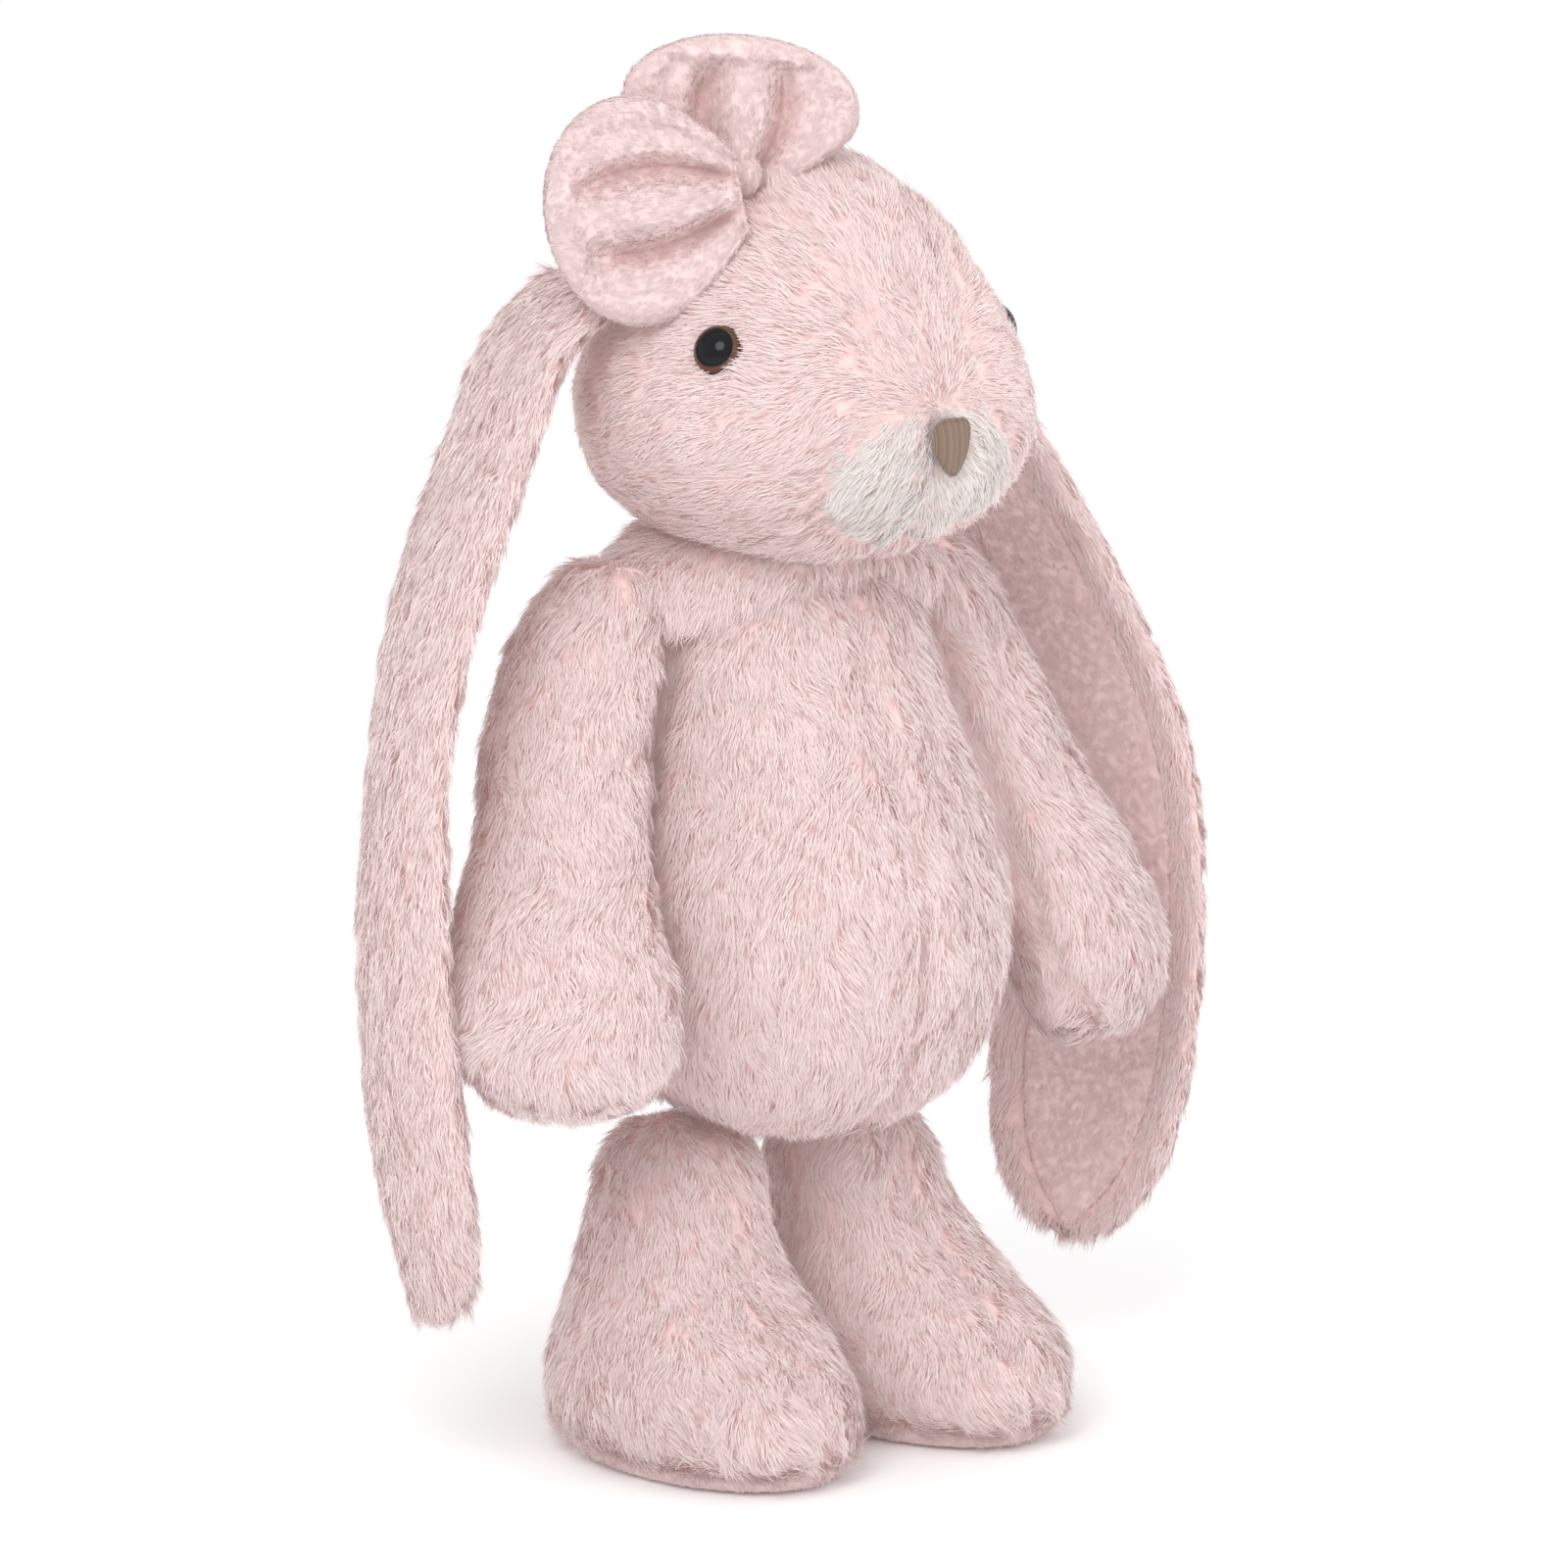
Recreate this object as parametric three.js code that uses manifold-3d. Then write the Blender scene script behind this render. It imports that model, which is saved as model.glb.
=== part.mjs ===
// A stuffed toy rabbit about 30 cm tall, standing on its two feet and facing -Y, with +Z up.
// Every cover panel is a shell as thick as its backing and the dense part of its pile.
import * as THREE from 'three';
import { LoftGeometry } from 'three/addons/geometries/LoftGeometry.js';
import { mergeVertices } from 'three/addons/utils/BufferGeometryUtils.js';
import Module from 'manifold-3d';

const wasm = await Module();
wasm.setup();

// Driving dimensions, in millimetres, and angles in degrees.
const GAP = 0.35;
const COVER = 4.5;
const RING_POINTS = 18;
const SMALL_RING_POINTS = 12;
const FAR = 900;
const RIGHT = -1;
const LEFT = 1;

// Stacked bodies: each ring is [height, x, y, half width, half depth], lowest first.
const TORSO_RINGS = [
  [66.5, 0, 0, 7, 7],
  [68, 0, 0, 16, 16],
  [72, 0, 0, 25.5, 25.5],
  [79, 0, 0, 33.5, 33.5],
  [89, 0, 0, 39, 39],
  [102, 0, -1, 41.5, 42],
  [118, 0, -1, 41.5, 41.5],
  [134, 0, 1, 38, 38],
  [148, 0, 4, 34, 34],
  [162, 0, 6, 31, 30],
  [174, 0, 7, 28.5, 26.5],
  [182, 0, 7, 23, 21],
];
const HEAD_RINGS = [
  [185.5, 0, -1, 10, 11],
  [188.5, 0, -1.5, 22, 24],
  [194.5, 0, -2, 33.5, 36.5],
  [202, 0, -2, 41.5, 44],
  [211, 0, -2, 45.5, 47],
  [220, 0, -1.5, 45.5, 46.5],
  [230, 0, -1, 42.5, 43.5],
  [240, 0, 0, 37.5, 38],
  [250, 0, 0, 31, 32],
  [259, 0, 0, 23, 24],
  [265, 0, 0, 13, 14],
  [268, 0, 0, 5, 5],
];
const ARM_RINGS = [
  [79, 68, -12, 7, 6],
  [82, 68, -12, 14.5, 10.5],
  [89, 68.5, -12, 21, 14.5],
  [97, 68.5, -10.5, 24, 16],
  [105, 67.5, -8, 24, 16],
  [117, 65, -4, 20.5, 15],
  [132, 59, 2, 17.5, 14.5],
  [148, 53.5, 8, 16.5, 14.5],
  [164, 47.5, 11, 16, 14],
  [177, 42, 12, 14, 12],
  [185, 38, 12, 8.5, 7.5],
];
const LEG_RINGS = [
  [4, 28, -4, 23.5, 38],
  [10, 28, -4, 24.5, 40],
  [18, 28, -3, 24.5, 38.5],
  [28, 26.5, 1.5, 22, 31],
  [38, 25.5, 7, 19.5, 22],
  [48, 24, 10, 17.5, 17.5],
  [57, 22.5, 11.5, 16.5, 16],
  [64.5, 21.5, 12, 12, 11.5],
  [68, 21.5, 12, 5, 5],
];
// The flat side of each arm lies against the belly.
const ARM_TURN = 38;
const SOLE_THICKNESS = 4;
const SOLE_EDGE = 1.5;
const SOLE_MARK = { halfWide: 7, halfLong: 11, thickness: 0.7 };
const LEG_POUCH_TOP = 15;
const TORSO_POUCH_TOP = 84;

const MUZZLE = { height: 202.5, y: -49, halfWide: 27, halfDeep: 24, halfTall: 18.5 };
const GUSSET_OUTLINE = [[0, -60], [12, -60], [12, -38], [19, -8], [19, 14], [11, 32], [0, 41]];
const GUSSET_BOTTOM = 205;
const NOSE = { height: 213, y: -47.2, halfTop: 5.4, halfTall: 5.6, depth: 2.6, round: 1 };

const EYE = { height: 231, fromFront: 62, tiltUp: 22, seat: 40.4, radius: 5.3 };
// The dome's outline: [share of the eye's radius, height above the eye's rim].
const EYE_DOME = [[0.87, -0.8], [1, 0], [0.96, 1.4], [0.79, 2.8], [0.45, 3.8]];
const EYE_TOP = 4.2;
const EYE_SHANK = { radius: 1.7, length: 11 };
const EYE_SEAT = { holeBottom: -9, shelf: -1.1, mouth: 12 };
const WASHER = { inner: 2.1, outer: 5.2, top: -4.1, thickness: 1.2 };

const NECK = { radius: 11, bottom: 170, top: 198, y: 4, play: 3.5, round: 3 };

// An ear hangs from the side of the head in an arc of points: [distance out, y, height].
// The left ear starts and ends a little lower than the right.
const EAR_ARCS = {
  [RIGHT]: [
    [36, 15, 243], [54, 16, 232], [68, 15, 210], [84, 15, 176],
    [93, 16, 118], [90, 17, 72], [81, 16, 35],
  ],
  [LEFT]: [
    [38, 15, 240], [51, 17, 229], [62, 17, 205], [79, 15, 172],
    [94, 13, 125], [95, 13, 80], [85, 13, 28],
  ],
};
const EAR_END = 0.985;
const EAR_WIDEST = 46;
const EAR_WIDE_FROM = 0.62;
const EAR_ROUND_FROM = 0.8;
const EAR_NARROWEST_HALF = 3;
const EAR_SPLITS = [0.15, 0.56];
const EAR_SPLIT_GAP = 4.4;
const EAR_STATIONS = 6;
const EAR_ACROSS = 4;
const EAR_TWIST = 25;
const EAR_CUP = 5;
const EAR_OUTER = { from: -3.4, to: 0, rim: 0 };
const EAR_LINING = { from: 1, to: 2.7, rim: 5.5 };

const BOW = { x: -20, y: -4, height: 262, yaw: 28, padding: 7 };
const BOW_LOBES = [
  { name: 'bow_loop_top', lean: -6, length: 30, halfWide: 24, forward: 0 },
  { name: 'bow_loop_side', lean: 100, length: 40, halfWide: 23, forward: 12 },
];
// A lobe's outline: [share of its length, share of its half width, share of the padding].
const BOW_SECTIONS = [
  [0.16, 0.45, 0.6],
  [0.4, 0.85, 0.9],
  [0.6, 1, 1],
  [0.8, 0.88, 0.9],
  [0.93, 0.6, 0.65],
  [1, 0.25, 0.3],
];
const BOW_GATHER = { radius: 5, y: -6, height: 264 };
const BOW_EAR_ROOM = 0.8;

const TAIL = { y: 46, height: 80, radius: 13, cover: 3.5 };
const LABEL = { x: 14, y: 42.5, height: 84, wide: 12, long: 17, thickness: 0.8 };

// Materials, one for each kind of stuff that the toy is made of.
const fabric = (color) => new THREE.MeshStandardMaterial({ color, roughness: 0.95, metalness: 0 });
const pinkPlush = fabric(0xefd9d8);
const creamPlush = fabric(0xe9e3df);
const pinkMinky = fabric(0xdcbcbc);
const brownThread = fabric(0x96806e);
const fiberfill = fabric(0xf4f4f2);
const pouchCloth = fabric(0xe6e2da);
const labelSatin = fabric(0xf2f0ea);
const eyePlastic = new THREE.MeshStandardMaterial({ color: 0x4a2f20, roughness: 0.12, metalness: 0 });
const washerPlastic = new THREE.MeshStandardMaterial({ color: 0xe8e8e8, roughness: 0.5, metalness: 0 });

const bunny = new THREE.Group();

// ---- Solids ----

function toSolid(geometry) {
  const bare = new THREE.BufferGeometry().copy(geometry);
  bare.deleteAttribute('normal');
  bare.deleteAttribute('uv');
  const merged = mergeVertices(bare, 1e-4);
  return new wasm.Manifold(new wasm.Mesh({
    numProp: 3,
    vertProperties: Float32Array.from(merged.attributes.position.array),
    triVerts: Uint32Array.from(merged.index.array),
  }));
}

function toGeometry(solid) {
  const mesh = solid.getMesh();
  const geometry = new THREE.BufferGeometry();
  geometry.setAttribute('position', new THREE.BufferAttribute(mesh.vertProperties, 3));
  geometry.setIndex(new THREE.BufferAttribute(mesh.triVerts, 1));
  geometry.computeVertexNormals();
  return geometry;
}

// The main body of a solid that a cut has left with loose slivers.
function mainBody(solid) {
  return solid.decompose().reduce((best, body) => (body.volume() > best.volume() ? body : best));
}

function addPiece(name, shape, material) {
  const geometry = shape.isBufferGeometry ? shape : toGeometry(shape);
  const mesh = new THREE.Mesh(geometry, material);
  mesh.name = name;
  bunny.add(mesh);
}

const radians = THREE.MathUtils.degToRad;

const sideName = (side) => (side === RIGHT ? 'right' : 'left');

// All of space on the far side of a plane, half a gap away from it.
function halfSpace(point, normal) {
  const block = new THREE.BoxGeometry(FAR, FAR, FAR).translate(0, 0, FAR / 2 + GAP / 2);
  const turn = new THREE.Quaternion().setFromUnitVectors(
    new THREE.Vector3(0, 0, 1), normal.clone().normalize());
  block.applyQuaternion(turn).translate(point.x, point.y, point.z);
  return toSolid(block);
}

const above = (height) => halfSpace(new THREE.Vector3(0, 0, height), new THREE.Vector3(0, 0, 1));
const below = (height) => halfSpace(new THREE.Vector3(0, 0, height), new THREE.Vector3(0, 0, -1));
const onSide = (side) => halfSpace(new THREE.Vector3(), new THREE.Vector3(side, 0, 0));

function upright(radius, bottom, top, x, y) {
  const bar = new THREE.CylinderGeometry(radius, radius, top - bottom, RING_POINTS);
  bar.rotateX(Math.PI / 2).translate(x, y, (top + bottom) / 2);
  return toSolid(bar);
}

function ellipsoid(halfX, halfY, halfZ, x, y, z) {
  const ball = new THREE.SphereGeometry(1, SMALL_RING_POINTS, SMALL_RING_POINTS / 2);
  return toSolid(ball.scale(halfX, halfY, halfZ).translate(x, y, z));
}

// A body of horizontal ellipses. A positive inset makes the same body smaller all over.
function stack(rings, side = LEFT, inset = 0, turnDegrees = 0) {
  const turn = radians(turnDegrees);
  const low = rings[0][0];
  const high = rings.at(-1)[0];
  const squeeze = (high - low - 2 * inset) / (high - low);
  const sections = rings.map(([height, x, y, halfWide, halfDeep]) => {
    const z = low + inset + (height - low) * squeeze;
    return Array.from({ length: RING_POINTS }, (_, i) => {
      const angle = (i / RING_POINTS) * 2 * Math.PI;
      const wide = Math.cos(angle) * Math.max(halfWide - inset, 1);
      const deep = Math.sin(angle) * Math.max(halfDeep - inset, 1);
      return new THREE.Vector3(
        side * x + wide * Math.cos(turn) - deep * Math.sin(turn),
        y + wide * Math.sin(turn) + deep * Math.cos(turn),
        z,
      );
    });
  });
  return toSolid(new LoftGeometry(sections, { capStart: true, capEnd: true }));
}

// ---- Torso ----

function addTorso() {
  const neckHole = upright(NECK.radius + NECK.play, NECK.bottom - NECK.play, FAR, 0, NECK.y);
  const shell = stack(TORSO_RINGS).subtract(stack(TORSO_RINGS, LEFT, COVER)).subtract(neckHole);
  const fill = stack(TORSO_RINGS, LEFT, COVER + GAP);
  const sideSeam = new THREE.Vector3(0, 3, 0);
  const halves = { front: new THREE.Vector3(0, -1, 0), back: new THREE.Vector3(0, 1, 0) };
  for (const [half, normal] of Object.entries(halves)) {
    for (const side of [RIGHT, LEFT]) {
      const panel = shell.intersect(halfSpace(sideSeam, normal)).intersect(onSide(side));
      addPiece(`torso_${half}_${sideName(side)}`, panel, pinkPlush);
    }
  }
  addPiece('torso_stuffing', fill.intersect(above(TORSO_POUCH_TOP)).subtract(neckHole), fiberfill);
  addPiece('torso_bean_pouch', fill.intersect(below(TORSO_POUCH_TOP)), pouchCloth);

  const { radius, bottom, top, y, round } = NECK;
  const neckRings = [
    [bottom, 0, y, radius - round, radius - round],
    [bottom + round, 0, y, radius, radius],
    [top - round, 0, y, radius, radius],
    [top, 0, y, radius - round, radius - round],
  ];
  addPiece('neck_stuffing', stack(neckRings), fiberfill);
}

function addTail() {
  const { y, height, radius, cover } = TAIL;
  const torso = stack(TORSO_RINGS, LEFT, -GAP);
  const inner = radius - cover;
  const outside = ellipsoid(radius, radius, radius, 0, y, height);
  const hollow = ellipsoid(inner, inner, inner, 0, y, height);
  const bore = new THREE.CylinderGeometry(inner, inner, 2 * radius, RING_POINTS);
  const mouth = toSolid(bore.translate(0, y - radius, height));
  addPiece('tail_cover', outside.subtract(hollow).subtract(mouth).subtract(torso), pinkPlush);
  const fillRadius = inner - GAP;
  addPiece('tail_stuffing',
    ellipsoid(fillRadius, fillRadius, fillRadius, 0, y, height).subtract(torso), fiberfill);
}

function addCareLabel() {
  const { x, y, height, wide, long, thickness } = LABEL;
  const tag = new THREE.BoxGeometry(thickness, long, wide).translate(x, y, height);
  const torso = stack(TORSO_RINGS, LEFT, -GAP);
  addPiece('care_label', toSolid(tag).subtract(torso), labelSatin);
}

// ---- Arms and legs ----

function addArm(side) {
  const turn = side * ARM_TURN;
  const shell = stack(ARM_RINGS, side, 0, turn).subtract(stack(ARM_RINGS, side, COVER, turn));
  const paw = ARM_RINGS[3];
  const shoulder = ARM_RINGS.at(-2);
  const seam = new THREE.Vector3(side * paw[1], paw[2], paw[0]);
  const along = new THREE.Vector3(side * shoulder[1], shoulder[2], shoulder[0]).sub(seam);
  const across = new THREE.Vector3(Math.cos(radians(turn)), Math.sin(radians(turn)), 0);
  const forward = new THREE.Vector3().crossVectors(along, across);
  const backward = forward.clone().negate();
  const name = sideName(side);
  addPiece(`arm_${name}_front_panel`, shell.intersect(halfSpace(seam, forward)), pinkPlush);
  addPiece(`arm_${name}_back_panel`, shell.intersect(halfSpace(seam, backward)), pinkPlush);
  addPiece(`arm_${name}_stuffing`, stack(ARM_RINGS, side, COVER + GAP, turn), fiberfill);
}

function solePlate(side, inset, bottom, top) {
  const [, x, y, halfWide, halfLong] = LEG_RINGS[0];
  const edge = [x, y, halfWide - inset, halfLong - inset];
  return stack([
    [bottom, x, y, halfWide - inset - SOLE_EDGE, halfLong - inset - SOLE_EDGE],
    [bottom + SOLE_EDGE, ...edge],
    [top, ...edge],
  ], side);
}

function soleMark(side, grow) {
  const [, x, y] = LEG_RINGS[0];
  const disc = new THREE.CylinderGeometry(1, 1, SOLE_MARK.thickness + 2 * grow, RING_POINTS);
  disc.rotateX(Math.PI / 2).scale(SOLE_MARK.halfWide + grow, SOLE_MARK.halfLong + grow, 1);
  return toSolid(disc.translate(side * x, y, SOLE_MARK.thickness / 2));
}

function addLeg(side) {
  const name = sideName(side);
  const cavity = stack(LEG_RINGS, side, COVER);
  const mouth = solePlate(side, COVER, 0, LEG_RINGS[1][0]);
  const hollow = stack(LEG_RINGS, side).subtract(cavity).subtract(mouth);
  const shell = hollow.intersect(above(SOLE_THICKNESS));
  const hip = LEG_RINGS.at(-1);
  const sole = LEG_RINGS[0];
  const seam = new THREE.Vector3(side * sole[1], 0, sole[0]);
  const along = new THREE.Vector3(side * hip[1], 0, hip[0]).sub(seam);
  const outward = new THREE.Vector3().crossVectors(new THREE.Vector3(0, side, 0), along);
  const inward = outward.clone().negate();
  addPiece(`leg_${name}_outer_panel`, shell.intersect(halfSpace(seam, outward)), pinkPlush);
  addPiece(`leg_${name}_inner_panel`, shell.intersect(halfSpace(seam, inward)), pinkPlush);
  addPiece(`foot_${name}_sole`,
    solePlate(side, 0, 0, SOLE_THICKNESS).subtract(soleMark(side, GAP)), pinkMinky);
  addPiece(`sole_${name}_stitched_mark`, soleMark(side, 0), brownThread);
  const fill = stack(LEG_RINGS, side, COVER + GAP);
  addPiece(`leg_${name}_stuffing`, fill.intersect(above(LEG_POUCH_TOP)), fiberfill);
  addPiece(`foot_${name}_bean_pouch`, fill.intersect(below(LEG_POUCH_TOP)), pouchCloth);
}

// ---- Head ----

// The eye's own frame: local +Y is the way that the eye looks.
function eyeFrame(side) {
  const turn = radians(EYE.fromFront);
  const tilt = radians(EYE.tiltUp);
  const look = new THREE.Vector3(
    side * Math.sin(turn) * Math.cos(tilt), -Math.cos(turn) * Math.cos(tilt), Math.sin(tilt));
  const seat = new THREE.Vector3(
    side * Math.sin(turn) * EYE.seat, -Math.cos(turn) * EYE.seat - 1, EYE.height);
  const turned = new THREE.Quaternion().setFromUnitVectors(new THREE.Vector3(0, 1, 0), look);
  return new THREE.Matrix4().compose(seat, turned, new THREE.Vector3(1, 1, 1));
}

function turnedProfile(points, frame) {
  const profile = points.map(([radius, height]) => new THREE.Vector2(radius, height));
  return toSolid(new THREE.LatheGeometry(profile, SMALL_RING_POINTS).applyMatrix4(frame));
}

function eyeSolid(frame) {
  const { radius, length } = EYE_SHANK;
  const dome = EYE_DOME.map(([share, height]) => [share * EYE.radius, height]);
  const shank = [[0, -length], [radius, -length], [radius, dome[0][1]]];
  return turnedProfile([...shank, ...dome, [0, EYE_TOP]], frame);
}

function washerSolid(frame) {
  const { inner, outer, top, thickness } = WASHER;
  const corners = [[inner, top - thickness], [outer, top - thickness], [outer, top], [inner, top]];
  return turnedProfile([...corners, corners[0]], frame);
}

// What the eye takes out of the cover: a seat for the dome and a hole for the shank.
function eyeSeat(frame) {
  const { holeBottom, shelf, mouth } = EYE_SEAT;
  const room = EYE.radius + GAP;
  const hole = EYE_SHANK.radius + GAP;
  const bore = [[0, holeBottom], [hole, holeBottom], [hole, shelf]];
  return turnedProfile([...bore, [room, shelf], [room, mouth], [0, mouth]], frame);
}

function washerPocket(frame) {
  const wide = WASHER.outer + GAP;
  const deep = -EYE_SHANK.length - GAP;
  return turnedProfile([[0, deep], [wide, deep], [wide, 0], [0, 0]], frame);
}

function gussetBlock(grow) {
  const outline = new THREE.Shape();
  const back = GUSSET_OUTLINE.at(-1)[1];
  const wider = (x) => (x === 0 ? 0 : x + grow);
  const longer = (y) => (y === back ? y + grow : y);
  const right = GUSSET_OUTLINE.map(([x, y]) => [wider(x), longer(y)]);
  const left = right.slice(1, -1).reverse().map(([x, y]) => [-x, y]);
  for (const [i, [x, y]] of [...right, ...left].entries()) {
    if (i === 0) outline.moveTo(x, y);
    else outline.lineTo(x, y);
  }
  const block = new THREE.ExtrudeGeometry(outline, { depth: FAR, bevelEnabled: false });
  return toSolid(block.translate(0, 0, GUSSET_BOTTOM));
}

function muzzleBlock(grow) {
  const { halfWide, halfDeep, halfTall, y, height } = MUZZLE;
  return ellipsoid(halfWide + grow, halfDeep + grow, halfTall + grow, 0, y, height);
}

// A rounded triangle with its point down, padded forward.
function nosePad(grow) {
  const top = NOSE.halfTop;
  const tall = NOSE.halfTall;
  const outline = new THREE.Shape();
  outline.moveTo(0, -tall);
  outline.quadraticCurveTo(1.1 * top, -0.5 * tall, top, 0.5 * tall);
  outline.quadraticCurveTo(0.95 * top, tall, 0, tall);
  outline.quadraticCurveTo(-0.95 * top, tall, -top, 0.5 * tall);
  outline.quadraticCurveTo(-1.1 * top, -0.5 * tall, 0, -tall);
  const pad = new THREE.ExtrudeGeometry(outline, {
    depth: NOSE.depth + 2 * grow,
    bevelSize: grow,
    bevelThickness: NOSE.round,
    bevelSegments: 2,
    curveSegments: 6,
  });
  pad.rotateX(Math.PI / 2);
  return toSolid(pad.translate(0, NOSE.y + grow, NOSE.height));
}

function addHead() {
  const frames = { [RIGHT]: eyeFrame(RIGHT), [LEFT]: eyeFrame(LEFT) };
  const neckHole = upright(NECK.radius + NECK.play, 0, NECK.top + NECK.play, 0, NECK.y);
  const half = GAP / 2;
  let shell = stack(HEAD_RINGS).subtract(stack(HEAD_RINGS, LEFT, COVER)).subtract(neckHole);
  let fill = stack(HEAD_RINGS, LEFT, COVER + GAP).subtract(neckHole);
  for (const side of [RIGHT, LEFT]) {
    shell = shell.subtract(eyeSeat(frames[side]));
    fill = fill.subtract(washerPocket(frames[side]));
    addPiece(`eye_${sideName(side)}`, eyeSolid(frames[side]), eyePlastic);
    addPiece(`eye_${sideName(side)}_lock_washer`, washerSolid(frames[side]), washerPlastic);
  }
  shell = shell.subtract(nosePad(GAP));
  addPiece('nose_embroidery', nosePad(0), brownThread);
  addPiece('head_stuffing', fill, fiberfill);

  const muzzle = shell.intersect(muzzleBlock(-half));
  const rest = shell.subtract(muzzleBlock(half));
  addPiece('head_gusset', rest.intersect(gussetBlock(-half)), pinkPlush);
  const sides = rest.subtract(gussetBlock(half));
  for (const side of [RIGHT, LEFT]) {
    addPiece(`muzzle_${sideName(side)}`, muzzle.intersect(onSide(side)), creamPlush);
    addPiece(`head_side_${sideName(side)}`, sides.intersect(onSide(side)), pinkPlush);
  }
}

// ---- Ears ----

// Narrow at the head, widest near the end, and rounded off at the tip.
function earWidth(t) {
  const spread = 0.55 + 0.45 * THREE.MathUtils.smoothstep(t, 0, EAR_WIDE_FROM);
  const tip = Math.max((t - EAR_ROUND_FROM) / (1 - EAR_ROUND_FROM), 0);
  return EAR_WIDEST * spread * Math.sqrt(1 - tip ** 2.4);
}

function earCurve(side) {
  const points = EAR_ARCS[side].map(([x, y, z]) => new THREE.Vector3(side * x, y, z));
  return new THREE.CatmullRomCurve3(points);
}

// The direction across the ear at t, from its back edge to its front edge.
function earAcross(side, t) {
  const along = earCurve(side).getTangentAt(t);
  const twist = radians(EAR_TWIST * Math.min(2 * t, 1));
  const across = new THREE.Vector3(side * Math.sin(twist), -Math.cos(twist), 0);
  return across.addScaledVector(along, -along.dot(across)).normalize();
}

// A curved plate that follows the ear from t = start to t = end, cupped towards the inside.
function earPlate(side, start, end, layer, grow = 0) {
  const curve = earCurve(side);
  const sections = [];
  for (let i = 0; i <= EAR_STATIONS; i++) {
    const t = start + ((end - start) * i) / EAR_STATIONS;
    const centre = curve.getPointAt(t);
    const across = earAcross(side, t);
    const inward = new THREE.Vector3().crossVectors(curve.getTangentAt(t), across);
    inward.multiplyScalar(side);
    const half = Math.max(earWidth(t) / 2 - layer.rim, EAR_NARROWEST_HALF) + grow;
    const cup = EAR_CUP * Math.min(2 * t, 1) * (2 * half / EAR_WIDEST) ** 2;
    const plate = (offset, step) => {
      const share = 2 * step - 1;
      const place = centre.clone().addScaledVector(across, share * half);
      return place.addScaledVector(inward, offset + cup * share * share);
    };
    const steps = Array.from({ length: EAR_ACROSS + 1 }, (_, j) => j / EAR_ACROSS);
    const inside = steps.map((step) => plate(layer.to + grow, step));
    const outside = steps.map((step) => plate(layer.from - grow, step)).reverse();
    const section = [...inside, ...outside];
    sections.push(side === RIGHT ? section : section.reverse());
  }
  return toSolid(new LoftGeometry(sections, { capStart: true, capEnd: true }));
}

function addEar(side) {
  const head = stack(HEAD_RINGS, LEFT, -GAP);
  const length = earCurve(side).getLength();
  const half = EAR_SPLIT_GAP / 2 / length;
  const [fold, bend] = EAR_SPLITS;
  const segments = {
    root: [0, fold - half],
    upper: [fold + half, bend - half],
    lower: [bend + half, EAR_END],
  };
  for (const [segment, [start, end]] of Object.entries(segments)) {
    const outer = earPlate(side, start, end, EAR_OUTER).subtract(head);
    const lining = earPlate(side, start, end, EAR_LINING).subtract(head);
    addPiece(`ear_${sideName(side)}_outer_${segment}`, outer, pinkPlush);
    addPiece(`ear_${sideName(side)}_lining_${segment}`, lining, pinkMinky);
  }
}

// ---- Bow ----

// A padded loop that fans out from the gathered middle of the bow, grown along local +Z.
function bowLobe({ lean, length, halfWide, forward }) {
  const rings = BOW_SECTIONS.map(([reach, wide, thick]) => [
    reach * length, 0, 0, wide * halfWide, thick * BOW.padding,
  ]);
  const yaw = new THREE.Matrix4().makeRotationZ(radians(-BOW.yaw));
  const frame = new THREE.Matrix4().makeTranslation(BOW.x, BOW.y, BOW.height)
    .multiply(yaw)
    .multiply(new THREE.Matrix4().makeTranslation(0, -forward, 0))
    .multiply(new THREE.Matrix4().makeRotationY(radians(-lean)));
  const lobe = toGeometry(stack(rings));
  return toSolid(lobe.applyMatrix4(frame));
}

function addBow() {
  const wholeEar = { from: EAR_OUTER.from, to: EAR_LINING.to, rim: 0 };
  const ear = earPlate(RIGHT, 0, EAR_SPLITS[0], wholeEar, BOW_EAR_ROOM);
  const clear = stack(HEAD_RINGS, LEFT, -GAP).add(ear);
  const ball = (radius) => ellipsoid(radius, radius, radius, BOW.x, BOW_GATHER.y, BOW_GATHER.height);
  addPiece('bow_gather', ball(BOW_GATHER.radius).subtract(clear), pinkMinky);
  let taken = ball(BOW_GATHER.radius + GAP).add(clear);
  for (const lobe of BOW_LOBES) {
    const solid = bowLobe(lobe);
    addPiece(lobe.name, mainBody(solid.subtract(taken)), pinkMinky);
    taken = taken.add(solid);
  }
}

addTorso();
addTail();
addCareLabel();
addHead();
addBow();
for (const side of [RIGHT, LEFT]) {
  addArm(side);
  addLeg(side);
  addEar(side);
}

// The origin is on the ground, in the middle of the toy's footprint.
const bounds = new THREE.Box3().setFromObject(bunny);
const middle = bounds.getCenter(new THREE.Vector3());
bunny.position.set(-middle.x, -middle.y, -bounds.min.z);

export default bunny;
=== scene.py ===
"""The looks of a pink plush rabbit: padded covers, pile, linings, a bow, eyes and a nose."""

import math

import bmesh
import bpy
import numpy as np
from mathutils import Matrix, Vector
from mathutils.bvhtree import BVHTree
from mathutils.kdtree import KDTree


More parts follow.
